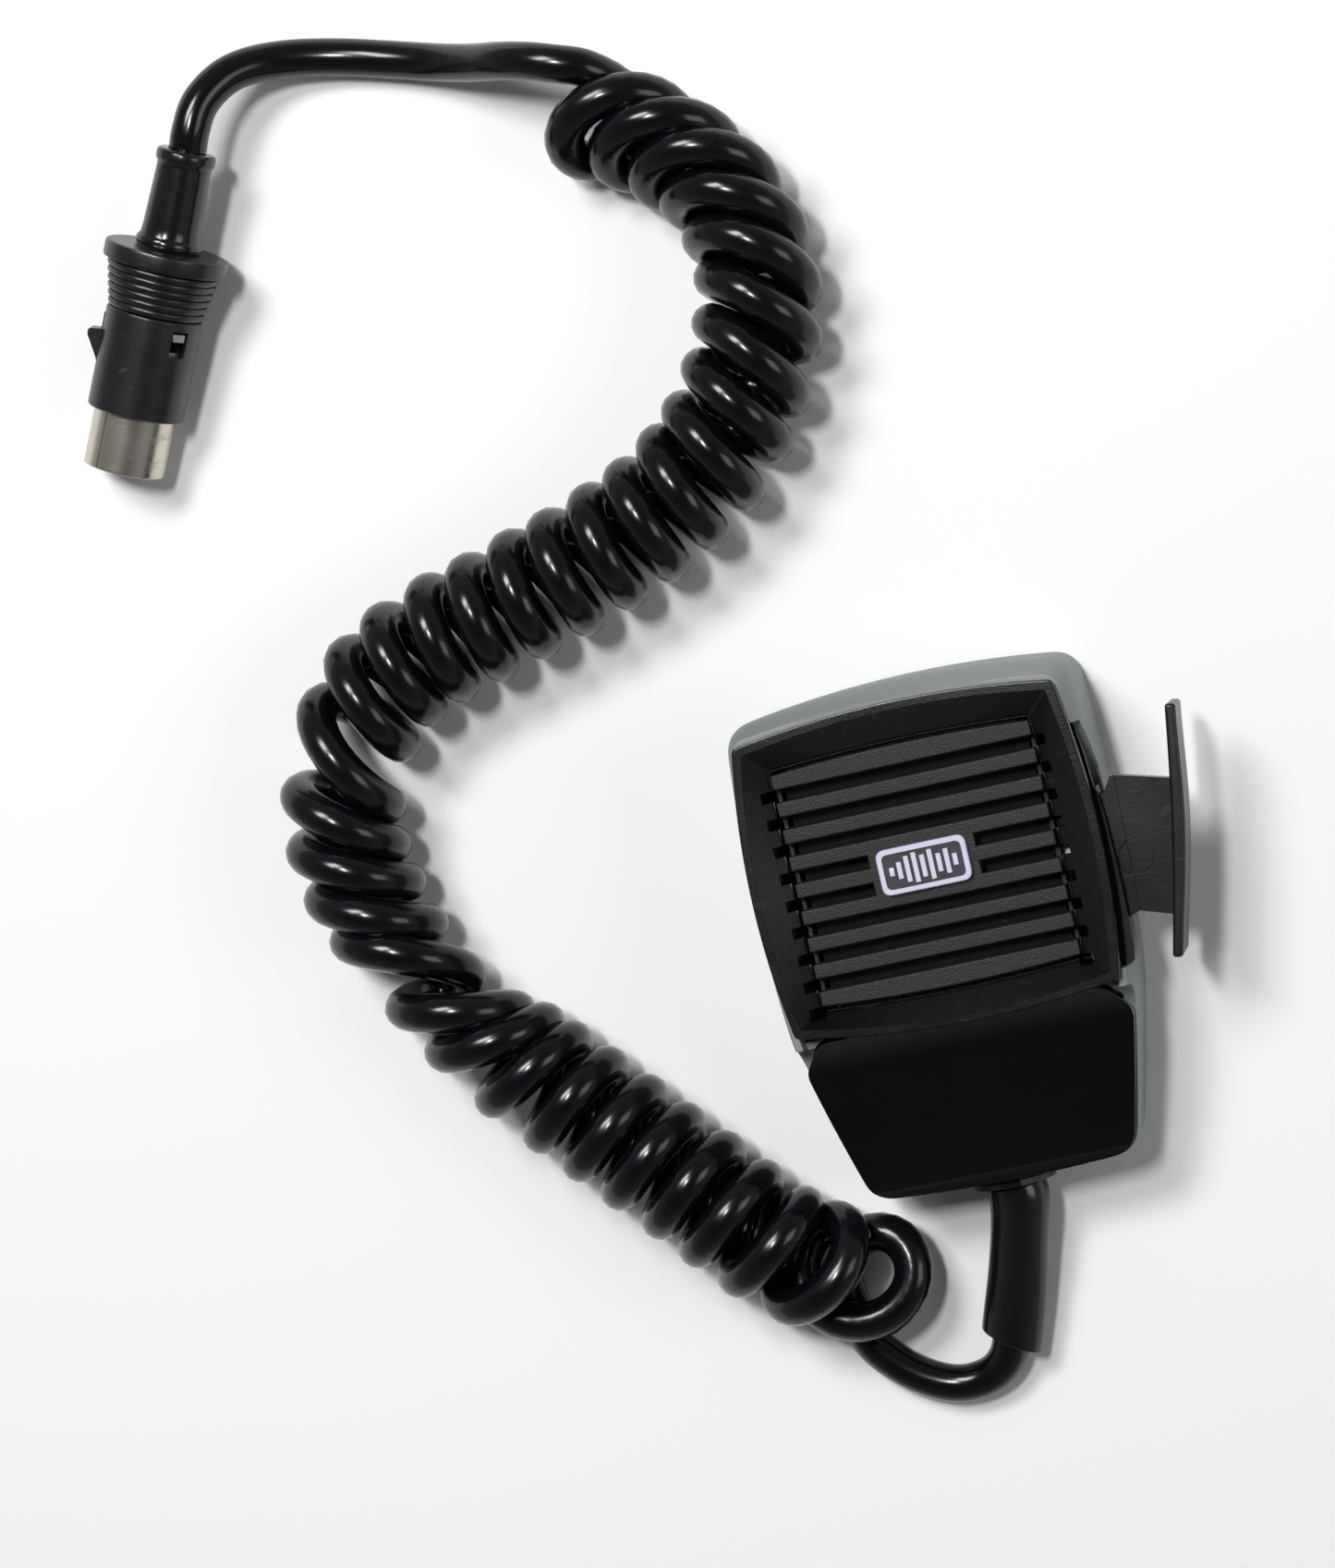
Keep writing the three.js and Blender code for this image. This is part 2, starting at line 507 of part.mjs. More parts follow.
const CAPSULE = [-2, 2];
add('mic_capsule', join(post(...CAPSULE, 9.6, 16.6, 9.4), post(...CAPSULE, 16.4, 17.6, 7.6)), steel);
const RING_PROFILE = [
  [9.9, 10.6], [12.0, 10.6], [12.0, 18.2], [8.0, 18.2], [8.0, 17.0], [9.9, 17.0], [9.9, 10.6],
];
add('capsule_ring', turned(RING_PROFILE, 20).rotateX(Math.PI / 2).translate(...CAPSULE, 0), rubber);

add('matching_transformer', box(-19, -15.2, -8, 8, ON_BOARD_Z, 13.5), steel);
const trimmerBody = box(3, 11, -17, -11.6, ON_BOARD_Z, 11);
add('volume_trimmer', join(trimmerBody, post(7, -14.3, 10.8, 12.2, 1.9, 16)), boardGreen);

// ---------- cord outlet ----------
const GROMMET_PROFILE = [
  [3.3, -4.2], [6.6, -4.2], [6.6, -3.3], [5.1, -3.3], [5.1, -0.2], [6.6, -0.2], [6.6, 0.8], [3.3, 0.8],
  [3.3, -4.2],
];
add('cord_grommet', turned(GROMMET_PROFILE, 24).translate(OUTLET[0], -50.1, OUTLET[1]), rubber);
add('cord_sleeve', tubeAlong(SLEEVE_ROUTE, SLEEVE_R, 14, 12), rubber);
add('cord_inner', rodY(OUTLET[0], -54.4, -36.5, OUTLET[1], 2.95, 16), cordBlack);
function cableClamp() {
  const [left, right] = CLAMP_SCREWS;
  const bridge = box(left[0] - 2.6, right[0] + 2.6, -45.2, -39.8, 6.8, 13.2);
  const half = CORD_R + 0.25;
  const saddle = rodY(OUTLET[0], -47, -38, OUTLET[1], half);
  const entry = box(OUTLET[0] - half, OUTLET[0] + half, -47, -38, 6, OUTLET[1]);
  const holes = CLAMP_SCREWS.map(([x, y]) => post(x, y, 6, 15, 1.4, 12));
  return cut(bridge, saddle, entry, ...holes);
}
add('cable_clamp', cableClamp(), blackPlastic);
CLAMP_SCREWS.forEach(([x, y], i) => {
  add(`clamp_screw_${i + 1}`, join(post(x, y, 13.5, 14.8, 2.2, 12), post(x, y, 3.0, 13.7, 1.0, 10)), steel);
});
// the cord's own leads, fanning out to the switch and the board
const LEAD_R = 0.55;
const RED_ROUTE = [
  [0.9, -36.1, 9.6], [3.5, -31, 11.5], [9.5, -24, 13.4], [14.5, -13, 13.4], [14.6, -10.9, 13.2],
];
const YELLOW_ROUTE = [[0.3, -36.1, 7.9], [1.5, -30, 8.0], [-2.0, -22, 8.6], [-6.0, -15, 8.0]];
const WHITE_ROUTE = [
  [-1.0, -36.1, 9.4], [-6.0, -30, 11.0], [-9.5, -20, 11.4], [-5.0, -10.6, 9.0], [-3.0, -2.0, 8.6],
];
add('lead_red', tubeAlong(RED_ROUTE, LEAD_R, 6, 14), wireRed);
add('lead_yellow', tubeAlong(YELLOW_ROUTE, LEAD_R, 6, 10), wireYellow);
add('lead_white', tubeAlong(WHITE_ROUTE, LEAD_R, 6, 12), wireWhite);

// ---------- cord ----------
add('cord_tail_mic', tubeAlong(MIC_TAIL, CORD_R, 10, 12), cordBlack);
const coilMiddle = COIL_ROUTE.map(([x, y]) => [x, y, COIL_R + 0.1]);
add('cord_coil', tubeAlong(coilMiddle, COIL_R, 12, 34), cordBlack);
add('cord_tail_plug', tubeAlong(PLUG_TAIL, CORD_R, 10, 20), cordBlack);

// ---------- plug ----------
// The group's own Y axis is the plug's axis, with its origin at the mouth of the metal shell.
const plug = new THREE.Group();
plug.position.set(...PLUG_MOUTH);
plug.rotation.set(THREE.MathUtils.degToRad(PLUG_LIFT), 0, THREE.MathUtils.degToRad(-PLUG_YAW), 'ZXY');
model.add(plug);

const tube = (inner, outer, y0, y1, sides) =>
  turned([[inner, y0], [outer, y0], [outer, y1], [inner, y1], [inner, y0]], sides);

const pinPlaces = Array.from({ length: PIN_COUNT }, (_, i) => {
  const angle = (i / (PIN_COUNT - 1)) * Math.PI;
  return [Math.cos(angle) * PIN_CIRCLE_R, Math.sin(angle) * PIN_CIRCLE_R];
});
const rodAt = ([x, z], y0, y1, radius, sides) => rodY(x, y0, y1, z, radius, sides);
const pinHoles = pinPlaces.map((place) => rodAt(place, 5, 13, PIN_R + GAP, 8));
add('plug_insulator', cut(rodY(0, 6.5, 12.0, 0, SHELL_INNER_R - 0.35, 20), ...pinHoles), paleInsulator, plug);
pinPlaces.forEach((place, i) => add(`plug_pin_${i + 1}`, rodAt(place, 2.6, 15, PIN_R, 8), nickel, plug));

// places round the barrel, as turns about the plug's axis
const LATCH_TURN = THREE.MathUtils.degToRad(-78);
const TAB_TURN = THREE.MathUtils.degToRad(56);
const aroundPlug = (geometry, angle) => geometry.rotateY(angle);
const TAB_Y = [20.8, 24.2];
const LATCH_ROOM_X = 1.9;        // half width of the openings the latch moves in
function plugShell() {
  const latchRoom = aroundPlug(box(-LATCH_ROOM_X, LATCH_ROOM_X, 14.5, SHELL_LONG + 1, 4, 9), LATCH_TURN);
  return cut(tube(SHELL_INNER_R, SHELL_R, 0, SHELL_LONG, 24), latchRoom);
}
add('plug_shell', plugShell(), nickel, plug);
function plugBarrel() {
  const barrel = tube(SHELL_R + GAP, BARREL_R, BARREL[0], BARREL[1], 28);
  const latchWindow = box(-LATCH_ROOM_X, LATCH_ROOM_X, LATCH_Y[0] - 0.4, LATCH_Y[1] + 0.4, 5, 12);
  const tabWindow = box(-1.5, 1.5, TAB_Y[0] - 0.4, TAB_Y[1] + 0.4, 5, 12);
  return cut(barrel, aroundPlug(latchWindow, LATCH_TURN), aroundPlug(tabWindow, TAB_TURN));
}
add('plug_barrel', plugBarrel(), blackPlastic, plug);
function plugLatch() {
  const arm = box(-1.5, 1.5, LATCH_Y[0], LATCH_Y[1], 7.0, 7.8);
  const wedge = sideProfile([[LATCH_Y[0], 7.6], [21.8, 7.6], [21.4, 9.9], [20.4, 9.9]], -1.5, 1.5);
  return aroundPlug(join(arm, wedge), LATCH_TURN);
}
add('plug_latch', plugLatch(), blackPlastic, plug);
add('plug_window_tab', aroundPlug(box(-1.15, 1.15, ...TAB_Y, 7.0, 7.5), TAB_TURN), steel, plug);

function plugGrip() {
  const boreR = CORD_R + 0.4;
  const ribPitch = (RIBS_END - GRIP[0]) / RIBS;
  const profile = [[boreR, GRIP[0]], [RIB_R[0], GRIP[0]]];
  for (let i = 0; i < RIBS; i += 1) {
    const y = GRIP[0] + i * ribPitch;
    const radius = THREE.MathUtils.lerp(...RIB_R, (i + 0.5) / RIBS);
    profile.push([radius, y + ribPitch * 0.25], [radius, y + ribPitch * 0.75], [radius - 0.45, y + ribPitch]);
  }
  profile.push([FLANGE_R - 0.5, RIBS_END + 0.1], [FLANGE_R, RIBS_END + 0.5], [FLANGE_R, GRIP[1] - 0.4]);
  profile.push([FLANGE_R - 0.5, GRIP[1]], [boreR, GRIP[1]], [boreR, GRIP[0]]);
  return turned(profile, 20);
}
add('plug_grip', plugGrip(), blackPlastic, plug);
const BOOT_PROFILE = [
  [0, BOOT[0]], [5.3, BOOT[0]], [5.3, 38.0], [4.8, 38.4], [4.35, 50.4], [4.75, 50.8], [4.75, 52.1],
  [4.5, BOOT[1]], [0, BOOT[1]],
];
add('plug_boot', turned(BOOT_PROFILE, 24), rubber, plug);

// ---------- origin: under the middle of the microphone itself ----------
const cordPieces = /^(cord_tail|cord_coil|plug_)/;
model.updateMatrixWorld(true);
const microphone = new THREE.Box3();
model.traverse((node) => {
  if (node.isMesh && !cordPieces.test(node.name)) microphone.expandByObject(node, true);
});
const middle = microphone.getCenter(new THREE.Vector3());
model.position.set(-middle.x, -middle.y, -microphone.min.z);

export default model;
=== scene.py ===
# %% [markdown]
# # A hand microphone with a curly cord
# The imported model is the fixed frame. This lesson makes the surfaces that are seen, in place, and gives
# each one its finish. Shapes are drawn in millimetres from the middle of the microphone's front, and
# turned into metres in the shared frame when a piece is finished.

# %% Load the frame
import bpy, bmesh, math
from mathutils import Vector, Matrix, noise

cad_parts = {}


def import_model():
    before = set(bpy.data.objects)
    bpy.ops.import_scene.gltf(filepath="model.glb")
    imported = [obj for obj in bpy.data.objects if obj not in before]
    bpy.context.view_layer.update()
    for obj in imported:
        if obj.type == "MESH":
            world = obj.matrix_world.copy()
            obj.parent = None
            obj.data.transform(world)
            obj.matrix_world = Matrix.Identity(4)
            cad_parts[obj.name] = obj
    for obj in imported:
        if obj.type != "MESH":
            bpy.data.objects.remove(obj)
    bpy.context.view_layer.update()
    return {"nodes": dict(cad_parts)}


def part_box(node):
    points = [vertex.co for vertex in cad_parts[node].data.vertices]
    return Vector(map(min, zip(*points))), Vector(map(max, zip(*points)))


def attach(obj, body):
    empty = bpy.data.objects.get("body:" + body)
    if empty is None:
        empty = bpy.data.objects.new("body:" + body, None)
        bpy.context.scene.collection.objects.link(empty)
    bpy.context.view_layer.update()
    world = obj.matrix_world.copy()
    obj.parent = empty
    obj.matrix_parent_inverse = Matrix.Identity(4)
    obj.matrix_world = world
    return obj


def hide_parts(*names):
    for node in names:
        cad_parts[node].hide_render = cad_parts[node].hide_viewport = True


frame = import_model()
MM = 0.001
GRILLE_AT = Vector((-0.4, -1.5, 0))      # the grille's middle, seen from the middle of the face
badge_low, badge_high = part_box("badge_plate")
FACE = Vector(((badge_low[0] + badge_high[0]) / 2, (badge_low[1] + badge_high[1]) / 2, 0)) - GRILLE_AT * MM
scene = bpy.context.scene
print("face centre", tuple(round(v, 5) for v in FACE))

# %% [markdown]
# ## The camera
# The microphone lies flat. The camera looks down on it from a little to the right and the top, so the
# right wall shows, and it is rolled so that the microphone leans to the left in the view.

# %% Camera
CAMERA_AIM = (-42.05, 18.03, 0)
CAMERA_FAR = 640
CAMERA_TILT = 12.5
CAMERA_PITCH = 2.4
CAMERA_ROLL = -12.9
CAMERA_LENS = 91.3


def world(point):
    return FACE + Vector(point) * MM


turn = (Matrix.Rotation(math.radians(CAMERA_TILT), 3, "Y")
        @ Matrix.Rotation(math.radians(-CAMERA_PITCH), 3, "X")
        @ Matrix.Rotation(math.radians(CAMERA_ROLL), 3, "Z"))
camera_data = bpy.data.cameras.new("camera")
camera_data.sensor_fit = "VERTICAL"
camera_data.sensor_height = 36
camera_data.lens = CAMERA_LENS
camera = bpy.data.objects.new("camera", camera_data)
camera_place = world(CAMERA_AIM) + turn.col[2] * CAMERA_FAR * MM
camera.matrix_world = Matrix.Translation(camera_place) @ turn.to_4x4()
scene.collection.objects.link(camera)
scene.camera = camera
print("camera", CAMERA_FAR, "mm away, through a", CAMERA_LENS, "mm lens")

# %% [markdown]
# ## Shader groups
# Two effects are shared by most finishes: a fine moulded grain, and dust with light scuffs. Each is a node
# group, built once, with the scale as an input, so that a smooth part and a rough one can share it.

# %% Shader groups
FINE_DETAIL = 3
CLOUD_SCALE, CLOUD_DETAIL = 90, 4
DUST_SCALE, SCUFF_SCALE = 900, 160
SCUFF_STRETCH = (1, 4, 1)
DIRT_TURN = (0, 0, 0.6)
DIRT_DETAIL, DIRT_ROUGHNESS = 5, 0.62
DIRT_SHARPNESS = 9


def node_group(name, inputs, outputs):
    group = bpy.data.node_groups.new(name, "ShaderNodeTree")
    for label, value in inputs:
        group.interface.new_socket(label, in_out="INPUT", socket_type="NodeSocketFloat").default_value = value
    for label in outputs:
        group.interface.new_socket(label, in_out="OUTPUT", socket_type="NodeSocketFloat")
    return group, group.nodes.new("NodeGroupInput"), group.nodes.new("NodeGroupOutput")


def maths(tree, operation, *inputs, clamp=False):
    """A Math node; each input is a number or another node's output."""
    node = tree.nodes.new("ShaderNodeMath")
    node.operation = operation
    node.use_clamp = clamp
    for socket, value in zip(node.inputs, inputs):
        if isinstance(value, (int, float)):
            socket.default_value = value
        else:
            tree.links.new(value, socket)
    return node.outputs[0]


def grain_group():
    group, given, out = node_group("moulded_grain", [("Scale", 2500)], ["Height", "Cloud"])
    place = group.nodes.new("ShaderNodeTexCoord")
    fine = group.nodes.new("ShaderNodeTexNoise")
    fine.inputs["Detail"].default_value = FINE_DETAIL
    group.links.new(place.outputs["Object"], fine.inputs["Vector"])
    group.links.new(given.outputs["Scale"], fine.inputs["Scale"])
    group.links.new(fine.outputs["Fac"], out.inputs["Height"])
    cloud = group.nodes.new("ShaderNodeTexNoise")
    cloud.inputs["Scale"].default_value = CLOUD_SCALE
    cloud.inputs["Detail"].default_value = CLOUD_DETAIL
    group.links.new(place.outputs["Object"], cloud.inputs["Vector"])
    group.links.new(cloud.outputs["Fac"], out.inputs["Cloud"])
    return group


def dust_group():
    group, given, out = node_group("dust_and_scuffs", [("Specks", 0.72), ("Scuffs", 0.66)], ["Dust", "Scuff"])
    place = group.nodes.new("ShaderNodeTexCoord")
    masks = (("Dust", DUST_SCALE, (1, 1, 1), "Specks"), ("Scuff", SCUFF_SCALE, SCUFF_STRETCH, "Scuffs"))
    for label, scale, stretch, limit in masks:
        mapping = group.nodes.new("ShaderNodeMapping")
        mapping.inputs["Scale"].default_value = stretch
        mapping.inputs["Rotation"].default_value = DIRT_TURN
        texture = group.nodes.new("ShaderNodeTexNoise")
        texture.inputs["Scale"].default_value = scale
        texture.inputs["Detail"].default_value = DIRT_DETAIL
        texture.inputs["Roughness"].default_value = DIRT_ROUGHNESS
        group.links.new(place.outputs["Object"], mapping.inputs["Vector"])
        group.links.new(mapping.outputs["Vector"], texture.inputs["Vector"])
        above = maths(group, "SUBTRACT", texture.outputs["Fac"], given.outputs[limit])
        group.links.new(maths(group, "MULTIPLY", above, DIRT_SHARPNESS, clamp=True), out.inputs[label])
    return group


GRAIN = grain_group()
DUST = dust_group()
print("shader groups", GRAIN.name, "and", DUST.name)

# %% [markdown]
# ## Finishes
# Every finish starts from one recipe: a base colour that drifts slightly, paler dust and scuffs on top,
# roughness that follows both, and a bump from the grain. What differs is in the named values.

# %% Finish recipe
MIX_FACTOR, MIX_A, MIX_B, MIX_RESULT = 0, 6, 7, 2    # the colour sockets of a Mix node
GRAIN_DEPTH = 0.0002
DUST_DULLS = 0.3


def finish(name, colour, rough, metal=0.0, drift=0.12, dust=0.5, dust_colour=(0.3, 0.3, 0.29), grain=2500,
           bump=0.1, specks=0.72, scuffs=0.66, rough_spread=0.1, shine=0.5):
    material = bpy.data.materials.new(name)
    material.use_nodes = True
    tree = material.node_tree
    nodes, links = tree.nodes, tree.links
    shader = nodes["Principled BSDF"]
    shader.inputs["Metallic"].default_value = metal
    shader.inputs["Specular IOR Level"].default_value = shine
    texture = nodes.new("ShaderNodeGroup")
    texture.node_tree = GRAIN
    texture.inputs["Scale"].default_value = grain
    dirt = nodes.new("ShaderNodeGroup")
    dirt.node_tree = DUST
    dirt.inputs["Specks"].default_value = specks
    dirt.inputs["Scuffs"].default_value = scuffs

    drifted = nodes.new("ShaderNodeMix")
    drifted.data_type = "RGBA"
    drifted.inputs[MIX_A].default_value = (*[c * (1 - drift) for c in colour], 1)
    drifted.inputs[MIX_B].default_value = (*[min(1, c * (1 + drift)) for c in colour], 1)
    links.new(texture.outputs["Cloud"], drifted.inputs[MIX_FACTOR])
    both = maths(tree, "MAXIMUM", dirt.outputs["Dust"], dirt.outputs["Scuff"])
    amount = maths(tree, "MULTIPLY", both, dust)
    dusted = nodes.new("ShaderNodeMix")
    dusted.data_type = "RGBA"
    dusted.inputs[MIX_B].default_value = (*dust_colour, 1)
    links.new(amount, dusted.inputs[MIX_FACTOR])
    links.new(drifted.outputs[MIX_RESULT], dusted.inputs[MIX_A])
    links.new(dusted.outputs[MIX_RESULT], shader.inputs["Base Color"])

    spread = nodes.new("ShaderNodeMapRange")
    spread.inputs["To Min"].default_value = rough - rough_spread / 2
    spread.inputs["To Max"].default_value = rough + rough_spread
    links.new(texture.outputs["Cloud"], spread.inputs["Value"])
    rougher = maths(tree, "MULTIPLY_ADD", amount, DUST_DULLS, spread.outputs["Result"], clamp=True)
    links.new(rougher, shader.inputs["Roughness"])

    relief = nodes.new("ShaderNodeBump")
    relief.inputs["Strength"].default_value = bump
    relief.inputs["Distance"].default_value = GRAIN_DEPTH
    links.new(texture.outputs["Height"], relief.inputs["Height"])
    links.new(relief.outputs["Normal"], shader.inputs["Normal"])
    return material


print("dust dulls a finish by up to", DUST_DULLS)

# %% [markdown]
# The case is grey and black moulded plastic, the chin and the cord are glossy and nearly black, and the
# plug is nickel. Blacks that differ by a little in shine and grain are what tells the pieces apart, so
# each has a finish of its own. The inside parts get plain ones.

# %% The finishes
GREY = finish("grey_shell", (0.178, 0.193, 0.192), 0.48, drift=0.05, dust=0.22,
              dust_colour=(0.34, 0.35, 0.35), grain=1800, bump=0.12, scuffs=0.68)
BLACK = finish("black_moulding", (0.0026, 0.0027, 0.0036), 0.27, dust=0.16, dust_colour=(0.06, 0.06, 0.065),
               grain=2600, bump=0.14, scuffs=0.62, shine=0.36)
LEVER = finish("lever_plastic", (0.0035, 0.0038, 0.0052), 0.3, dust=0.22, dust_colour=(0.08, 0.08, 0.09),
               grain=1500, bump=0.08, specks=0.7, scuffs=0.6, shine=0.42)
BARS = finish("grille_plastic", (0.0096, 0.011, 0.0108), 0.5, dust=0.1, dust_colour=(0.08, 0.08, 0.08),
              grain=3600, bump=0.55, shine=0.33)
GLOSS = finish("gloss_black", (0.0018, 0.0028, 0.0024), 0.12, drift=0.2, dust=0.22,
               dust_colour=(0.04, 0.04, 0.04), grain=500, bump=0.012, specks=0.75, scuffs=0.7,
               rough_spread=0.04, shine=0.3)
CORD = finish("cord_jacket", (0.0024, 0.0024, 0.0036), 0.17, drift=0.3, dust=0.3,
              dust_colour=(0.05, 0.045, 0.04), grain=700, bump=0.04, specks=0.7, scuffs=0.68,
              rough_spread=0.08, shine=0.36)
SLEEVE = finish("sleeve_rubber", (0.0048, 0.004, 0.0034), 0.17, drift=0.25, dust=0.2,
                dust_colour=(0.05, 0.045, 0.04), grain=600, bump=0.03, scuffs=0.76)
PLUG = finish("plug_plastic", (0.004, 0.0042, 0.0055), 0.3, dust=0.25, dust_colour=(0.07, 0.07, 0.075),
              grain=1500, bump=0.12, scuffs=0.62)
NICKEL = finish("nickel", (0.58, 0.54, 0.47), 0.24, metal=1, dust=0.3, dust_colour=(0.2, 0.17, 0.13),
                grain=900, bump=0.05, scuffs=0.58)
STEEL = finish("steel", (0.5, 0.5, 0.5), 0.32, metal=1, dust=0.2, dust_colour=(0.2, 0.18, 0.15), bump=0.08)
BRASS = finish("brass", (0.55, 0.38, 0.14), 0.3, metal=1, dust=0.2, dust_colour=(0.2, 0.14, 0.06), bump=0.08)
PALE = finish("badge_pale", (0.52, 0.51, 0.64), 0.3, drift=0.04, dust=0.12, grain=1200, bump=0.03)
BADGE_DARK = finish("badge_dark", (0.022, 0.019, 0.026), 0.35, dust=0.12, dust_colour=(0.08, 0.08, 0.08),
                    bump=0.05)
BOARD = finish("board_laminate", (0.03, 0.1, 0.045), 0.4, bump=0.1)
INSULATOR = finish("insulator", (0.5, 0.46, 0.38), 0.5, bump=0.1)
CLOTH = finish("dust_cloth", (0.005, 0.0045, 0.0045), 0.9, grain=5200, bump=0.8, dust=0.2,
               dust_colour=(0.03, 0.016, 0.016))
RED = finish("lead_red", (0.3, 0.012, 0.012), 0.35, bump=0.05)
WHITE = finish("lead_white", (0.62, 0.62, 0.6), 0.35, bump=0.05)
YELLOW = finish("lead_yellow", (0.6, 0.38, 0.02), 0.35, bump=0.05)
print(len(bpy.data.materials), "finishes")

# %% [markdown]
# ## Outlines
# The case has no straight side: every edge bows out and every corner is rounded. So an outline is a list
# of corners, each with its place, how far it is cut back, and how far the edge after it bows.

# %% Outlines


def outline(corners, inset=0.0, edge_steps=20, corner_steps=7):
    count = len(corners)
    shifted = []
    for i, corner in enumerate(corners):
        here = Vector(corner[:2])
        a = (here - Vector(corners[i - 1][:2])).normalized()
        b = (Vector(corners[(i + 1) % count][:2]) - here).normalized()
        slip = math.tan(math.acos(max(-1, min(1, a.dot(b)))) / 2) * inset
        shifted.append(here + Vector((-a.y, a.x)) * inset - a * slip)

    def edge_point(i, t):
        start, end = shifted[i], shifted[(i + 1) % count]
        along = end - start
        out = Vector((along.y, -along.x)).normalized()
        return start + along * t + out * 4 * corners[i][3] * t * (1 - t)

    def trim(i):
        return max(corners[i][2] - inset * 0.6, 0.3)

    points = []
    for i in range(count):
        after = (i + 1) % count
        long = (shifted[after] - shifted[i]).length
        start, stop = trim(i) / long, 1 - trim(after) / long
        points += [edge_point(i, start + (stop - start) * k / edge_steps) for k in range(edge_steps + 1)]
        long_after = (shifted[(after + 1) % count] - shifted[after]).length
        p0, p1, p2 = edge_point(i, stop), shifted[after], edge_point(after, trim(after) / long_after)
        for k in range(1, corner_steps):
            t = k / corner_steps
            points.append(p0 * (1 - t) ** 2 + p1 * 2 * t * (1 - t) + p2 * t * t)
    return points


def moved_corners(corners, by):
    return [[x + by[0], y + by[1], *rest] for x, y, *rest in corners]


def blend_corners(first, last, t):
    return [[a + (b - a) * t for a, b in zip(p, q)] for p, q in zip(first, last)]


square = [[5, -5, 1, 0], [5, 5, 1, 0], [-5, 5, 1, 0], [-5, -5, 1, 0]]
print("an outline of four corners has", len(outline(square)), "points")

# %% [markdown]
# ## Solids
# Most moulded pieces are a loft: outlines stacked along Z. A prism is a loft of one outline, and a box
# and a disc are prisms. A profile seen from the side is drawn out along X.

# %% Solids
MERGE_MM = 1e-4


def new_object(name, verts, faces):
    mesh = bpy.data.meshes.new(name)
    mesh.from_pydata([tuple(v) for v in verts], [], faces)
    mesh.validate()
    obj = bpy.data.objects.new(name, mesh)
    scene.collection.objects.link(obj)
    return obj


def loft(name, sections):
    count = len(sections[0][1])
    verts = [(p.x, p.y, z) for z, points in sections for p in points]
    faces = [(s * count + k, s * count + (k + 1) % count,
              (s + 1) * count + (k + 1) % count, (s + 1) * count + k)
             for s in range(len(sections) - 1) for k in range(count)]
    last = (len(sections) - 1) * count
    faces.append(tuple(reversed(range(count))))
    faces.append(tuple(range(last, last + count)))
    return new_object(name, verts, faces)


def prism(name, points, z0, z1):
    return loft(name, [(z0, [Vector(p) for p in points]), (z1, [Vector(p) for p in points])])


def outward(obj):
    work = bmesh.new()
    work.from_mesh(obj.data)
    bmesh.ops.remove_doubles(work, verts=work.verts, dist=MERGE_MM)
    bmesh.ops.recalc_face_normals(work, faces=work.faces)
    work.to_mesh(obj.data)
    work.free()


def side_profile(name, points, x0, x1):
    """A profile in Y and Z, drawn out along X."""
    count = len(points)
    verts = [(x, y, z) for x in (x0, x1) for y, z in points]
    faces = [(k, (k + 1) % count, count + (k + 1) % count, count + k) for k in range(count)]
    faces += [tuple(reversed(range(count))), tuple(range(count, 2 * count))]
    obj = new_object(name, verts, faces)
    outward(obj)
    return obj


def box(name, x0, x1, y0, y1, z0, z1):
    return prism(name, [(x0, y0), (x1, y0), (x1, y1), (x0, y1)], z0, z1)


def circle(x, y, radius, steps):
    return [Vector((x + radius * math.cos(a), y + radius * math.sin(a)))
            for a in (2 * math.pi * k / steps for k in range(steps))]


def disc(name, x, y, z0, z1, radius, steps=48):
    return prism(name, circle(x, y, radius, steps), z0, z1)


# %% [markdown]
# ## Cuts and edges
# Openings are cut with the exact boolean. A narrow bevel then gives every edge the small radius that a
# moulding has and that catches the light. Each step is baked, so a piece ends as a plain mesh.

# %% Cuts and edges
EDGE_ANGLE = 35


def baked(obj):
    """Replace the object's mesh with what its modifiers make of it."""
    graph = bpy.context.evaluated_depsgraph_get()
    mesh = bpy.data.meshes.new_from_object(obj.evaluated_get(graph))
    obj.modifiers.clear()
    old, obj.data = obj.data, mesh
    bpy.data.meshes.remove(old)
    return obj


def combine(obj, others, operation):
    for other in others:
        modifier = obj.modifiers.new("cut", "BOOLEAN")
        modifier.operation = operation
        modifier.solver = "EXACT"
        modifier.object = other
    baked(obj)
    for other in others:
        mesh = other.data
        bpy.data.objects.remove(other)
        bpy.data.meshes.remove(mesh)
    return obj


def cut(obj, *others):
    return combine(obj, others, "DIFFERENCE")


def join(obj, *others):
    return combine(obj, others, "UNION")


def rounded(obj, width, segments=2, angle=EDGE_ANGLE):
    modifier = obj.modifiers.new("edge", "BEVEL")
    modifier.width = width
    modifier.segments = segments
    modifier.limit_method = "ANGLE"
    modifier.angle_limit = math.radians(angle)
    modifier.use_clamp_overlap = True
    return baked(obj)


print("edges sharper than", EDGE_ANGLE, "degrees get rounded")

# %% [markdown]
# ## Handing a piece over
# A finished mesh is brought from millimetres about the face into the shared frame, gets its finish and
# smooth shading, and is tied to the body it moves with; the nodes it stands for are hidden.

# %% Hand-over
SMOOTH_ANGLE = 32


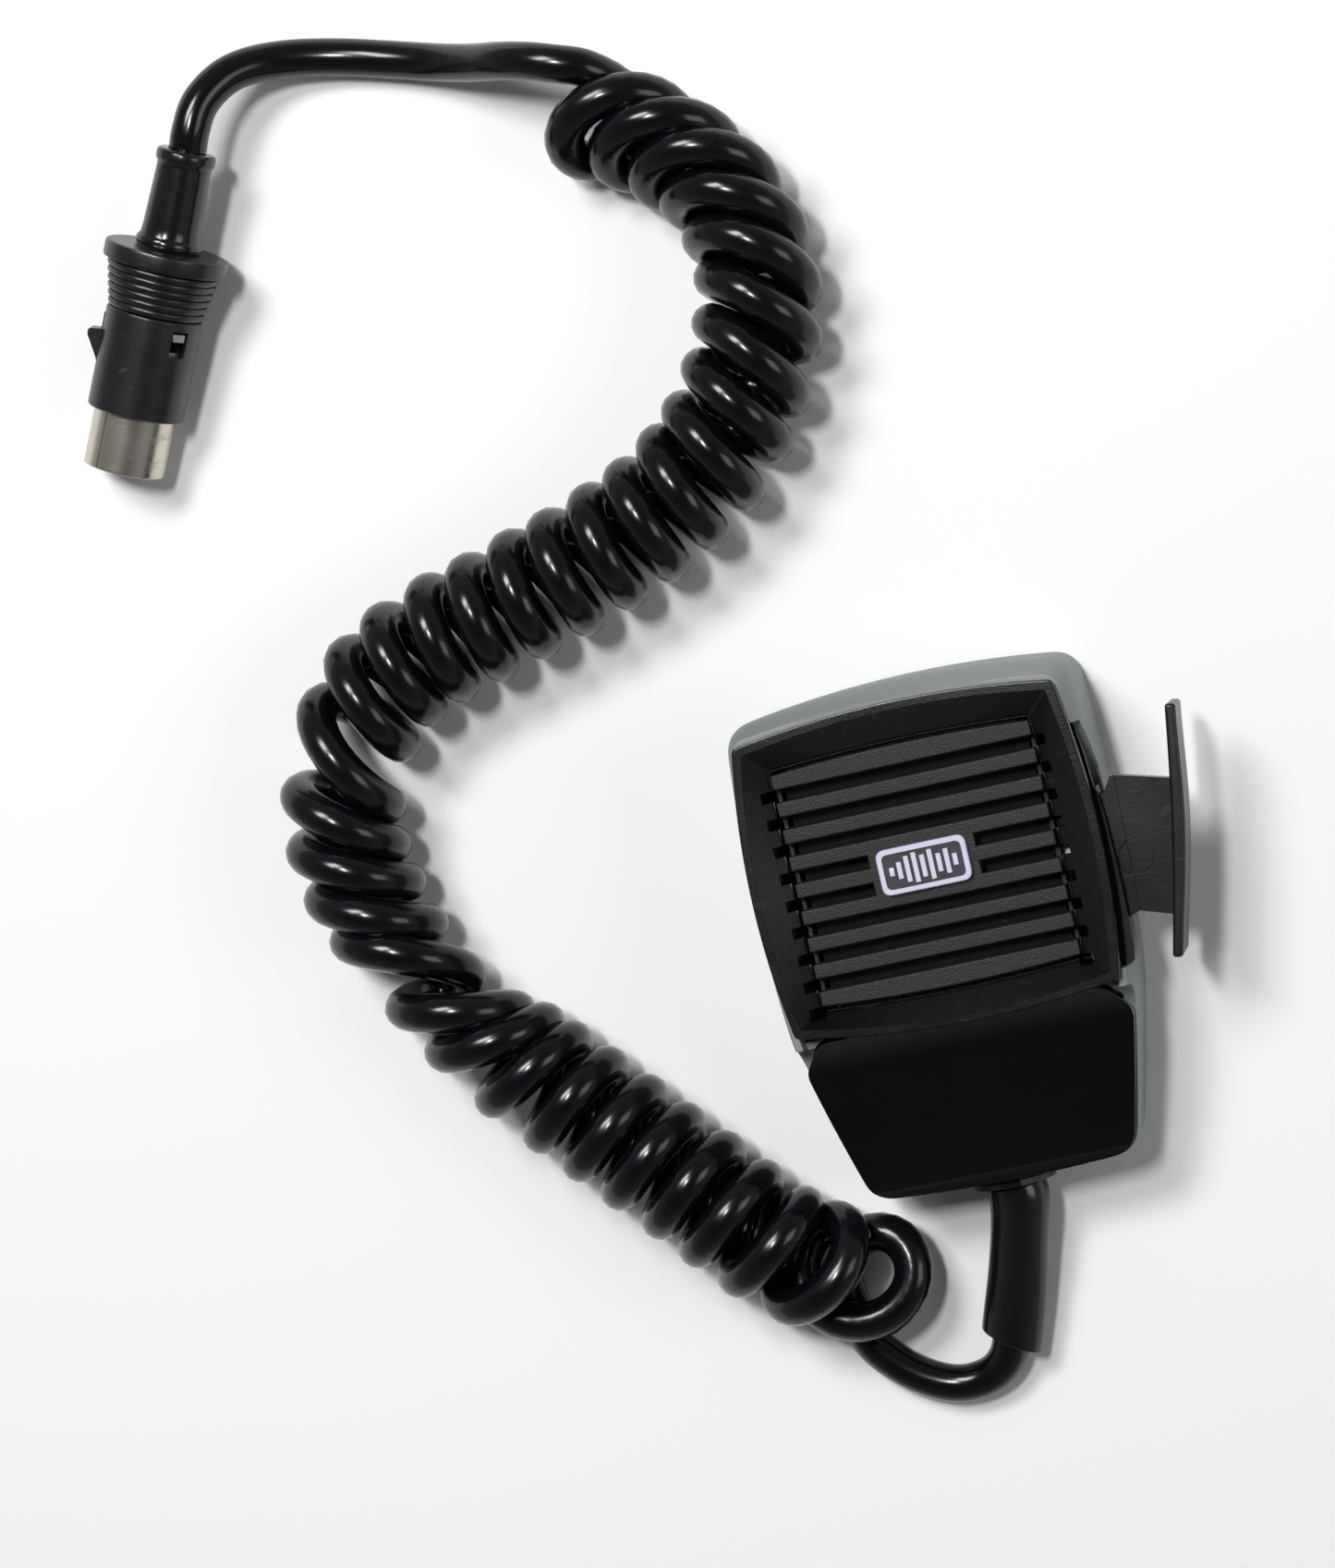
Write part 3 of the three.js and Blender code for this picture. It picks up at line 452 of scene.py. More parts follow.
def piece(obj, body, material, replaces=(), smooth=SMOOTH_ANGLE):
    """Bring a finished mesh into the shared frame and hand it over."""
    mesh = obj.data
    mesh.transform(Matrix.Translation(FACE) @ Matrix.Scale(MM, 4))
    mesh.materials.clear()
    mesh.materials.append(material)
    for polygon in mesh.polygons:
        polygon.use_smooth = True
    mesh.set_sharp_from_angle(angle=math.radians(smooth))
    even = obj.modifiers.new("even", "WEIGHTED_NORMAL")
    even.keep_sharp = True
    baked(obj)
    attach(obj, body)
    if replaces:
        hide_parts(*replaces)
    print(obj.name, "on", body, len(obj.data.polygons), "faces")
    return obj


# %% [markdown]
# ## The cord
# The cord is one line from the sleeve to the plug. Its curly stretch is worked out by a loop: a point runs
# round the coil's middle line 35 times, left-handed. Each turn also leans over and tips, as loose turns
# do on a table, by amounts that change along the coil, and the first turn lies nearly flat.

# %% The coil's sizes
CORD_R = 3.05
STRAND_R = 3.2
TURN_R = 7.95
TURNS = 35
COIL_ROUTE = [
    (-22.4, -67.8), (-27.6, -64.4), (-34.2, -60.6), (-40.6, -55.2), (-49.0, -46.0), (-58.7, -35.4),
    (-67.5, -25.9), (-76.0, -16.5), (-83.4, -7.2), (-88.9, 2.8), (-92.2, 12.8), (-92.9, 22.4),
    (-90.0, 32.8), (-83.0, 42.4), (-73.0, 47.9), (-60.0, 51.4), (-46.8, 55.0), (-33.3, 59.8),
    (-22.2, 66.4), (-14.3, 75.1), (-9.2, 85.4), (-7.6, 96.0), (-11.0, 107.8), (-18.0, 116.0),
    (-25.6, 121.4), (-32.6, 124.2),
]
# for a turn counted from the microphone: how far it leans over, and how far it tips, in degrees
LEAN = [(0, 8), (1, 12), (2, 0), (3.5, -8), (8, -6), (9.2, 10), (10.2, 34), (11.2, 46), (12.2, 36),
        (13.5, 27), (15, 22), (16, 18), (18, -3), (22, -6), (25, 0), (28, 14), (30, 28), (32, 38), (34, 44)]
TIP = [(0, -87), (0.85, -84), (1.4, -50), (2.3, -12), (4, 0), (9, 2), (11, 8), (13, 2), (24, 0), (28, 8),
       (30, 20), (32, 30), (34, 38)]
LOOSE_TURNS = [(11.4, 0.75), (15.8, 0.65)]      # turns that stand a little apart
print(TURNS, "turns,", 2 * TURN_R, "mm across the middle of the jacket")

# %% [markdown]
# The coil follows a smooth line through a few points on the table. Another helper reads the leans
# between their keys, easing from one to the next.

# %% The coil's middle line


def catmull(points, steps=24):
    ends = [points[0] * 2 - points[1], *points, points[-1] * 2 - points[-2]]
    line = []
    for i in range(1, len(ends) - 2):
        a, b, c, d = ends[i - 1:i + 3]
        for k in range(steps):
            t = k / steps
            line.append(0.5 * (2 * b + (c - a) * t + (2 * a - 5 * b + 4 * c - d) * t ** 2
                               + (3 * b - a - 3 * c + d) * t ** 3))
    return line + [ends[-2]]


def keyed(keys, where):
    for (a, va), (b, vb) in zip(keys, keys[1:]):
        if where <= b:
            t = (where - a) / (b - a)
            return va + (vb - va) * t * t * (3 - 2 * t)
    return keys[-1][1]


middle_line = catmull([Vector((x, y, 0)) for x, y in COIL_ROUTE])
distance = [0.0]
for a, b in zip(middle_line, middle_line[1:]):
    distance.append(distance[-1] + (b - a).length)


def on_middle(s):
    s = max(0, min(s, distance[-1] - 1e-6))
    i = next(k for k in range(len(distance) - 1) if distance[k + 1] > s)
    t = (s - distance[i]) / (distance[i + 1] - distance[i])
    along = (middle_line[min(i + 2, len(middle_line) - 1)] - middle_line[max(i - 1, 0)]).normalized()
    return middle_line[i].lerp(middle_line[i + 1], t), along


print("middle line", round(distance[-1]), "mm")

# %% [markdown]
# Each step round the coil is a point on a tilted circle. The circle's height is set so that it rests on
# the table however far it tips, and loose turns take a little more of the line than the others.

# %% The coil
STEPS_PER_TURN = 26
STEPS_LEFT_OUT = 12
GAP_MM = 8
GAP_STEEPNESS = 9
LEAN_WOBBLE, TIP_WOBBLE, SIZE_WOBBLE = 5, 4, 0.02
REST_GAP = 0.1
FLAT_TURN_LIFT = 5.2
LIFT_OVER_TURNS = 0.8
up = Vector((0, 0, 1))
coil = []
all_gaps = sum(size * GAP_MM for at, size in LOOSE_TURNS)
for k in range(TURNS * STEPS_PER_TURN - STEPS_LEFT_OUT):
    turn_at = (k + 2) / STEPS_PER_TURN
    gap = sum(size * GAP_MM / (1 + math.exp(-(turn_at - at) * GAP_STEEPNESS)) for at, size in LOOSE_TURNS)
    centre, along = on_middle(turn_at / TURNS * (distance[-1] - all_gaps) + gap)
    side = up.cross(along)
    wobble = noise.noise(Vector((turn_at * 0.8, 3.1, 0.5)))
    second_wobble = noise.noise(Vector((turn_at * 0.7, 9.7, 1.5)))
    lean = math.radians(keyed(LEAN, turn_at) + LEAN_WOBBLE * wobble)
    tip = math.radians(keyed(TIP, turn_at) + TIP_WOBBLE * second_wobble)
    across = side * math.cos(lean) + along * math.sin(lean)
    forward = along * math.cos(lean) - side * math.sin(lean)
    over = up * math.cos(tip) + forward * math.sin(tip)
    angle = 2 * math.pi * turn_at
    height = STRAND_R + REST_GAP + TURN_R * math.cos(tip)
    height += FLAT_TURN_LIFT * (1 - math.cos(tip)) * min(1, turn_at / LIFT_OVER_TURNS)
    radius = TURN_R * (1 + SIZE_WOBBLE * wobble)
    coil.append(centre + up * height + (across * math.cos(angle) - over * math.sin(angle)) * radius)

print("coil of", len(coil), "steps")

# %% [markdown]
# Two loose ends join the coil to the sleeve and to the plug. The whole line is then smoothed a little and
# kept on the table.

# %% The loose ends
MIC_END = [(-3.9, -72.5, 5.6), (-6.0, -78.2, 5.0), (-7.9, -82.4, 4.2), (-11.3, -85.0, 3.4),
           (-16.4, -85.6, 3.1), (-21.6, -83.6, 3.1), (-26.2, -80.0, 3.1), (-29.4, -75.6, 3.1)]
PLUG_END = [(-31.0, 131.9, 16.2), (-38.0, 134.3, 14.0), (-45.0, 136.2, 8.8), (-51.5, 138.3, 4.8),
            (-59.0, 140.8, 3.2), (-67.8, 143.4, 3.5),
            (-76.6, 145.0, 5.6), (-83.6, 144.4, 9.0), (-88.7, 141.0, 11.6), (-91.3, 136.8, 12.4),
            (-92.7, 133.9, 12.0)]
END_STEPS = 8
SMOOTHINGS = 3
SWELL_STEPS = 12
first, last = [Vector(p) for p in MIC_END], [Vector(p) for p in PLUG_END]
start = catmull([*first, coil[0], coil[4]], END_STEPS)[:-END_STEPS - 1]
end = catmull([coil[-9], coil[-1], *last], END_STEPS)[END_STEPS + 1:]
route = [p.copy() for p in start + coil[:-1] + end]
for _ in range(SMOOTHINGS):
    between = [(a + b * 2 + c) / 4 for a, b, c in zip(route, route[1:], route[2:])]
    route = [route[0], *between, route[-1]]
thick = []
for i in range(len(route)):
    into_coil, out_of_coil = i - len(start), len(start) + len(coil) - i
    swell = min(1, max(0, into_coil / SWELL_STEPS), max(0, out_of_coil / SWELL_STEPS))
    thick.append(CORD_R + (STRAND_R - CORD_R) * swell)
for p, radius in zip(route, thick):
    p.z = max(p.z, radius + REST_GAP / 2)

# %% [markdown]
# A curve with a round bevel turns the line into the jacket. The jacket is slightly thicker in the coil,
# so every point has a radius of its own.

# %% The jacket
curve = bpy.data.curves.new("curly_cord", "CURVE")
curve.dimensions = "3D"
curve.bevel_depth = CORD_R * MM
curve.bevel_resolution = 5
curve.use_fill_caps = True
spline = curve.splines.new("POLY")
spline.points.add(len(route) - 1)
for target, p, radius in zip(spline.points, route, thick):
    target.co = (*world(p), 1)
    target.radius = radius / CORD_R
cord = bpy.data.objects.new("curly_cord", curve)
scene.collection.objects.link(cord)
curve.materials.append(CORD)
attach(cord, "root")
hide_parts("cord_tail_mic", "cord_coil", "cord_tail_plug")
print(cord.name, "on root,", len(spline.points), "points")

# %% [markdown]
# ## The rear shell
# The grey shell is a tub. Its outline changes from a full body to a narrower rim, which rounds the front
# edge over. The rim drops to the chin, the right wall has a slot for the lever, and the back has sunk
# holes for the screws and the hang-up nut.

# %% Rear shell outline
BODY_CORNERS = [
    [20.9, -52.2, 3.6, 0.2], [26.9, -25.5, 3.0, 1.3], [26.9, 24.9, 3.4, 2.2],
    [-26.9, 24.9, 3.6, 1.3], [-26.9, -25.5, 3.0, 0.2], [-20.9, -52.2, 3.6, 0.9]]
RIM_CORNERS = [
    [20.4, -51.6, 3.2, 0.2], [26.3, -24.9, 2.6, 1.3], [25.7, 22.9, 2.4, 2.0],
    [-25.7, 22.9, 2.4, 1.3], [-26.3, -24.9, 2.6, 0.2], [-20.4, -51.6, 3.2, 0.9]]
RIM_Z = 25.3
BODY_TOP_Z = 17.0
WALL = 1.7
CHIN_CORNERS = [
    [20.6, -51.9, 3.2, 0.2], [25.9, -29.8, 1.3, 0], [22.6, -25.2, 1.6, 0],
    [-22.6, -25.2, 1.6, 0], [-25.9, -29.8, 1.3, 0.2], [-20.6, -51.9, 3.2, 0.9]]
SHELL_SCREWS = [(-22.1, 19.2), (22.1, 19.2), (-13.5, -46.4), (13.5, -46.4)]


def shell_section(z, inset):
    t = max(0, (z - BODY_TOP_Z) / (RIM_Z - BODY_TOP_Z)) ** 2.1
    return z, outline(blend_corners(BODY_CORNERS, RIM_CORNERS, t), inset)


back_edge = [(2.4 * (1 - math.cos(a)), 2.0 * (1 - math.sin(a)) ** 1.5)
             for a in (math.pi / 2 * k / 7 for k in range(8))]
levels = [shell_section(z, inset) for z, inset in back_edge[:-1]]
levels += [shell_section(z, 0)
           for z in (2.4, 6, 10, 14, 17, 18.5, 20, 21.2, 22.3, 23.2, 24, 24.6, 25.05)]
levels.append((RIM_Z, outline(RIM_CORNERS, 0.25)))
rear = loft("rear_shell_skin", levels)
print("rear shell of", len(levels), "outlines")

# %% [markdown]
# The inside is cut out as a second, smaller loft. Shoulders fill the corners beside the chin. The last
# cuts are the drop to the chin, the lever's slot, the sunk holes for screws and nut, and the cord's outlet.

# %% Rear shell cuts
hollow = loft("hollow", [shell_section(z, WALL) for z in (2.0, 10, 17, 20, 23)]
              + [(RIM_Z + 0.1, outline(RIM_CORNERS, 1.2))])
sweep = [(-25.6 - 4.6 * (1 - math.cos(a)), 24.6 - 5.4 * math.sin(a))
         for a in (math.pi / 2 * k / 10 for k in range(11))]
chin_drop = side_profile("chin_drop", [(-25.6, 30)] + sweep + [(-60, 13.39), (-60, 30)], -40, 40)
slot_points = [(-22.9, 15.6), (7, 15.6), (15.1, 21.6), (15.1, 30), (-22.9, 30)]
lever_slot = side_profile("lever_slot", slot_points, 20, 34)
cut(rear, hollow)
for side in (-1, 1):
    low, high = sorted((side * 18.5, side * 29))
    shoulder = box("shoulder", low, high, -31.6, -24.8, 11, 22.6)
    within = loft("within", [shell_section(z, 0.4) for z in (8, 14, 20, 23)]
                  + [(RIM_Z, outline(RIM_CORNERS, 0.5))])
    combine(shoulder, [within], "INTERSECT")
    chin_room = outline(CHIN_CORNERS, -0.4)
    cut(shoulder, loft("chin_room", [(9, chin_room), (40, chin_room)]))
    join(rear, shoulder)
cut(rear, chin_drop, lever_slot)
HEAD_R, SHANK_R, NUT_R, OUTLET_R = 3.1, 1.65, 3.3, 5.4
holes = [disc("hole", x, y, -1, 1.9, HEAD_R) for x, y in SHELL_SCREWS]
holes += [disc("hole", x, y, -1, 9, SHANK_R) for x, y in SHELL_SCREWS] + [disc("hole", 0, 2, -1, 6, NUT_R)]
outlet = disc("outlet", 0, 0, -4, 4, OUTLET_R)
outlet.data.transform(Matrix.Translation((0.3, -53, 8.8)) @ Matrix.Rotation(math.pi / 2, 4, "X"))
cut(rear, *holes, outlet)
rounded(rear, 0.22)
piece(rear, "root", GREY, ["rear_shell"])

# %% [markdown]
# ## The front frame
# The black frame is a funnel with a flat lip. Its side walls have a small square window at the end of
# every gap of the grille, and a hidden pocket under the right lip leaves room for the pressed lever.

# %% Front frame
LIP_CORNERS = [
    [25.5, -24.3, 0.8, 2.0], [25.2, 22.2, 0.8, 2.1], [-25.2, 22.2, 0.8, 2.0], [-25.5, -23.5, 0.8, 2.3]]
WINDOW_CORNERS = moved_corners([
    [20.6, -18.9, 0.8, 0.4], [20.6, 18.9, 0.8, 0.8], [-20.6, 18.9, 0.8, 0.4], [-20.6, -18.9, 0.8, 0.8]],
    GRILLE_AT)
LIP_Z = 27.0
BAR_PITCH = 4.28
SIDE_WINDOW_HALF = 0.88
bezel = loft("front_frame_funnel", [
    (21.4, outline(WINDOW_CORNERS, -1.7)), (24.8, outline(LIP_CORNERS, 1.8)),
    (25.6, outline(LIP_CORNERS, 1.5)), (25.62, outline(LIP_CORNERS)), (LIP_Z - 0.3, outline(LIP_CORNERS)),
    (LIP_Z - 0.08, outline(LIP_CORNERS, 0.1)), (LIP_Z, outline(LIP_CORNERS, 0.3))])
funnel = loft("funnel", [(22.9, outline(WINDOW_CORNERS, -0.1)), (LIP_Z - 0.15, outline(LIP_CORNERS, 1.3)),
                         (LIP_Z + 1, outline(LIP_CORNERS, 1.2))])
opening = loft("opening", [(20, outline(WINDOW_CORNERS)), (LIP_Z, outline(WINDOW_CORNERS))])
tongue_room = box("tongue_room", 22.3, 26.5, 3.0, 16.4, 20, 23.0)
cut(bezel, funnel, opening, tongue_room)
windows = []
for i in range(9):
    y = (i - 4) * BAR_PITCH - BAR_PITCH / 2 + 0.1
    for side in (-1, 1):
        low, high = sorted((side * 20.0, side * 22.4))
        window = box("window", low, high, y - SIDE_WINDOW_HALF, y + SIDE_WINDOW_HALF, 21.0, LIP_Z)
        window.data.transform(Matrix.Translation(GRILLE_AT))
        windows.append(window)
cut(bezel, *windows)
rounded(bezel, 0.12)
piece(bezel, "root", BLACK, ["front_frame"], smooth=28)

# %% [markdown]
# ## The grille
# Nine bars on a pitch are what Geometry Nodes are for. One bar is modelled with soft edges; a small tree
# puts copies on a line of points and makes them real. The first and last bars bow outwards and the two
# gaps beside the badge are bridged, so those are added to the result.

# %% Grille
BAR_HALF = 20.5
BAR_TALL = 2.3
BAR_TOP = 23.4


def copies_tree(name, sizes):
    """A tree that puts the object's own mesh on points, makes the copies real and gives them a material.

    It returns the tree, the node its inputs come from, and the socket that the points go to."""
    tree = bpy.data.node_groups.new(name, "GeometryNodeTree")
    for label, kind in [("Geometry", "Geometry"), *sizes, ("Material", "Material")]:
        tree.interface.new_socket(label, in_out="INPUT", socket_type="NodeSocket" + kind)
    tree.interface.new_socket("Geometry", in_out="OUTPUT", socket_type="NodeSocketGeometry")
    given, out = tree.nodes.new("NodeGroupInput"), tree.nodes.new("NodeGroupOutput")
    copies = tree.nodes.new("GeometryNodeInstanceOnPoints")
    real = tree.nodes.new("GeometryNodeRealizeInstances")
    dress = tree.nodes.new("GeometryNodeSetMaterial")
    tree.links.new(given.outputs["Geometry"], copies.inputs["Instance"])
    tree.links.new(copies.outputs["Instances"], real.inputs["Geometry"])
    tree.links.new(real.outputs["Geometry"], dress.inputs["Geometry"])
    tree.links.new(given.outputs["Material"], dress.inputs["Material"])
    tree.links.new(dress.outputs["Geometry"], out.inputs["Geometry"])
    return tree, given, copies.inputs["Points"]


def repeated(obj, tree, **values):
    """Run the tree on the object with these inputs and keep the plain mesh it makes."""
    modifier = obj.modifiers.new("copies", "NODES")
    modifier.node_group = tree
    for item in tree.interface.items_tree:
        if item.in_out == "INPUT" and item.name in values:
            modifier[item.identifier] = values[item.name]
    return baked(obj)


ROW, given, points = copies_tree("row_of_copies", [("Count", "Int"), ("Start", "Vector"), ("Step", "Vector")])
line = ROW.nodes.new("GeometryNodeMeshLine")
for label, socket in (("Count", "Count"), ("Start", "Start Location"), ("Step", "Offset")):
    ROW.links.new(given.outputs[label], line.inputs[socket])
ROW.links.new(line.outputs["Mesh"], points)
print("tree", ROW.name)

# %% [markdown]
# The seven straight bars come from the tree. The outer two bow outwards, and a bridge and a thin plate
# hold them together, so these four are made one by one and added.

# %% Bars
BARS_BOTTOM = 19.4
STRAIGHT_BARS = 7
BAR_BOW, BOW_STEPS = 0.8, 24
bars = box("grille_bars", -BAR_HALF, BAR_HALF, -BAR_TALL / 2, BAR_TALL / 2, BARS_BOTTOM, BAR_TOP)
rounded(bars, 0.28, 3)
repeated(bars, ROW, Count=STRAIGHT_BARS, Start=(0, -3 * BAR_PITCH, 0), Step=(0, BAR_PITCH, 0), Material=BARS)
extras = []
for side in (-1, 1):
    inner = side * (4 * BAR_PITCH - BAR_TALL / 2)
    top = [(BAR_HALF * (1 - 2 * k / BOW_STEPS),
            side * (4 * BAR_PITCH + BAR_TALL / 2 + BAR_BOW * (1 - (1 - 2 * k / BOW_STEPS) ** 2)))
           for k in range(BOW_STEPS + 1)]
    ring = [(-BAR_HALF, inner), (BAR_HALF, inner), *top]
    extra = prism("end_bar", ring if side > 0 else list(reversed(ring)), BARS_BOTTOM, BAR_TOP)
    extras.append(rounded(extra, 0.28, 3))
bridge = box("bridge", -8.4, 8.4, -BAR_PITCH - 0.6, BAR_PITCH + 0.6, BARS_BOTTOM, BAR_TOP - 0.02)
plate = box("plate", -20.45, 20.45, -19.8, 19.8, BARS_BOTTOM, 20.6)
cut(plate, box("field", -19.9, 19.9, -17.2, 17.2, 18, 22), *[
    box("corner", *sorted((sx * 18.2, sx * 23)), *sorted((sy * 16.6, sy * 22)), 18, 22)
    for sx in (-1, 1) for sy in (-1, 1)])
work = bmesh.new()
for part in (bars, *extras, rounded(bridge, 0.25, 2), plate):
    work.from_mesh(part.data)
work.transform(Matrix.Translation(GRILLE_AT))
work.to_mesh(bars.data)
work.free()
for part in (*extras, bridge, plate):
    bpy.data.objects.remove(part)
piece(bars, "root", BARS, ["grille"])

# %% [markdown]
# Behind the bars is a dust cloth, which keeps dirt off the capsule. It is a flat grid, stretched behind the
# bars, with a slight unevenness and a thickness.

# %% Dust cloth
CLOTH_HALF = (19.3, 17.8)
CLOTH_STEPS = (44, 40)
CLOTH_Z, CLOTH_THICK, CLOTH_UNEVEN = 18.85, 0.4, 0.05
verts = [(CLOTH_HALF[0] * (2 * i / CLOTH_STEPS[0] - 1), CLOTH_HALF[1] * (2 * j / CLOTH_STEPS[1] - 1),
          CLOTH_Z + CLOTH_UNEVEN * noise.noise(Vector((i * 0.3, j * 0.3, 0))))
         for j in range(CLOTH_STEPS[1] + 1) for i in range(CLOTH_STEPS[0] + 1)]
row = CLOTH_STEPS[0] + 1
faces = [(j * row + i, j * row + i + 1, (j + 1) * row + i + 1, (j + 1) * row + i)
         for j in range(CLOTH_STEPS[1]) for i in range(CLOTH_STEPS[0])]
cloth = new_object("dust_cloth", verts, faces)
solid = cloth.modifiers.new("thick", "SOLIDIFY")
solid.thickness = CLOTH_THICK
solid.offset = 0
baked(cloth)
cloth.data.transform(Matrix.Translation(GRILLE_AT))
piece(cloth, "root", CLOTH, ["dust_screen"])

# %% [markdown]
# ## The badge
# A pale plate with a raised border and a row of upright bars like a level meter, on a dark field. Its
# design is a plain one made for this model.

# %% Badge
BADGE_CORNERS = moved_corners([[7.1, -3.6, 1.5, 0], [7.1, 3.6, 1.5, 0], [-7.1, 3.6, 1.5, 0],
                               [-7.1, -3.6, 1.5, 0]], GRILLE_AT)
FIELD_Z = 24.15
FIELD_INSET = 0.85
LEVELS = (1.3, 2.6, 4.0, 4.6, 3.4, 4.6, 2.8, 3.8, 1.8)
LEVEL_PITCH, LEVEL_HALF = 1.25, 0.36
badge = loft("badge_rim", [(23.45, outline(BADGE_CORNERS, 0.05, 4)), (24.3, outline(BADGE_CORNERS, 0.05, 4)),
                           (24.45, outline(BADGE_CORNERS, 0.2, 4))])
field_edge = outline(BADGE_CORNERS, FIELD_INSET, 4)
cut(badge, loft("field", [(FIELD_Z, field_edge), (25, field_edge)]))
columns = []
for i, tall in enumerate(LEVELS):
    x = (i - (len(LEVELS) - 1) / 2) * LEVEL_PITCH + GRILLE_AT.x
    y = GRILLE_AT.y
    columns.append(box("level", x - LEVEL_HALF, x + LEVEL_HALF, y - tall / 2, y + tall / 2, 24.1, 24.42))
join(badge, *columns)
rounded(badge, 0.06, 2)
piece(badge, "root", PALE, ["badge_plate"])
field_edge = outline(BADGE_CORNERS, FIELD_INSET + 0.01, 4)
field = loft("badge_field", [(FIELD_Z - 0.1, field_edge), (FIELD_Z + 0.05, field_edge)])
piece(field, "root", BADGE_DARK)

# %% [markdown]
# ## The chin cover
# Gloss black, swept up under the lip and falling gently towards the cord. Its outline is cut to a side
# profile and its edges are rounded.

# %% Chin cover
crease = [(-24.9 - 6.3 * t, 25.45 - 3.45 * math.sin(math.pi / 2 * t) ** 0.95)
          for t in (k / 12 for k in range(13))]
back = [(-31.2 - 19.4 * t, 22.0 - 3.7 * t - 0.25 * t * t) for t in (k / 8 for k in range(1, 9))]
nose = [(-50.9, 17.7), (-51.6, 17.3), (-54, 16.4)]
under = [(-54, 14.92), (-30.9, 19.41), (-28, 21.2), (-26, 23.6), (-24.9, 24.6)]
chin = loft("chin_cover_skin", [(10, outline(CHIN_CORNERS)), (40, outline(CHIN_CORNERS))])
combine(chin, [side_profile("chin_profile", crease + back + nose + under, -40, 40)], "INTERSECT")
room = loft("room", [(9, outline(CHIN_CORNERS, 1.8)), (40, outline(CHIN_CORNERS, 1.8))])
roof = side_profile("roof", [(-20, 23), (-28.4, 21.2), (-30.9, 20.3), (-49.6, 16.7), (-56, 15.0), (-56, 9),
                             (-20, 9)], -40, 40)
combine(room, [roof], "INTERSECT")
cut(chin, room)
rounded(chin, 0.7, 4, 40)
piece(chin, "root", GLOSS, ["chin_cover"], smooth=40)

# %% [markdown]
# ## The talk lever
# One moulding: a bar inside the slot, a thick root, a thinner web with a round moulding mark, and a long
# curved paddle. Its outlines are drawn on the face's plane, because the moulding is flat in that sense.
# It turns on a pin, so all of it rides on the lever's own body.

# %% Talk lever
LEVER_Z = (16.0, 19.8)
PIVOT = (23.4, -20.3)
PADDLE_Z = (13.6, 24.6)
LUG_R, PIN_R = 2.4, 1.2
lever = prism("talk_lever", [(25.0, -19.5), (24.4, -22.4), (27.4, -22.2), (27.4, 4.4), (25.0, 4.4)],
              *LEVER_Z)
outward(lever)
root = prism("root", [(26.4, -16.9), (29.9, -15.4), (30.4, 5.2), (29.9, 5.7), (28.4, 3.4), (26.4, 3.0)],
             *LEVER_Z)
web_top = LEVER_Z[1] - 0.3
web = prism("web", [(29.4, -15.3), (35.9, -17.4), (39.6, 3.2), (30.2, 5.7)], LEVER_Z[0] + 1.0, web_top)
slot_bar = prism("slot_bar", [(25.4, -22.0), (26.6, -22.9), (27.7, -22.3), (28.1, -20.6), (28.25, -10),
                              (28.0, 0), (27.6, 4.6), (25.6, 4.6)], LEVER_Z[0], 21.9)
tongue = prism("tongue", [(26.0, 4.0), (27.5, 4.0), (27.1, 10), (26.4, 15.0), (26.05, 15.0)], 21.8, 22.7)
join(lever, root, web, slot_bar, tongue, disc("lug", *PIVOT, *LEVER_Z, LUG_R))
cut(lever, disc("bore", *PIVOT, 10, 24, PIN_R))
print("lever without its paddle", len(lever.data.polygons), "faces")

# %% [markdown]
# The paddle is a long curved strip that gets thinner at both ends. It is rounded more than the rest, so
# it is finished apart and joined last.

# %% Paddle
PADDLE_STEPS = 24
PADDLE_THICK = 1.9
MARK_AT, MARK_OUTER, MARK_INNER = (31.2, -7.2), 2.8, 2.58
inner_side = [(40.75 - 7.1 * t + 0.5 * math.sin(math.pi * t), 14.9 - 37.9 * t)
              for t in (k / PADDLE_STEPS for k in range(PADDLE_STEPS + 1))]
paddle_ring = list(inner_side)
for k, (x, y) in reversed(list(enumerate(inner_side))):
    thick_here = PADDLE_THICK * (0.97 - 0.12 * math.cos(2 * math.pi * k / PADDLE_STEPS))
    paddle_ring.append((x + thick_here, y - 0.25))
paddle = prism("paddle", paddle_ring, *PADDLE_Z)
outward(paddle)
rounded(paddle, 0.55, 4, 50)
mark = disc("mark", *MARK_AT, web_top - 0.15, LEVER_Z[1] + 1, MARK_OUTER, 64)
cut(mark, disc("core", *MARK_AT, 10, 30, MARK_INNER, 64))
cut(lever, mark)
rounded(lever, 0.22, 2)
join(lever, paddle)
piece(lever, "lever", LEVER, ["ptt_lever"])

# %% [markdown]
# ## The sleeve
# A soft oval tube, pushed over the cord and cut off at a slant. Its wall is real, so the cord can be seen
# coming out of it.

# %% Sleeve
SLEEVE_END = (-6.4, -79.6, 4.9)
SLEEVE_ROUTE = [(0.3, -54.6, 8.8), (0.3, -57.5, 8.6), (-0.9, -62.5, 7.6), (-3.6, -71.5, 5.8), SLEEVE_END]
centre_line = catmull([Vector(p) for p in SLEEVE_ROUTE], 8)
SLEEVE_SIDES = 40


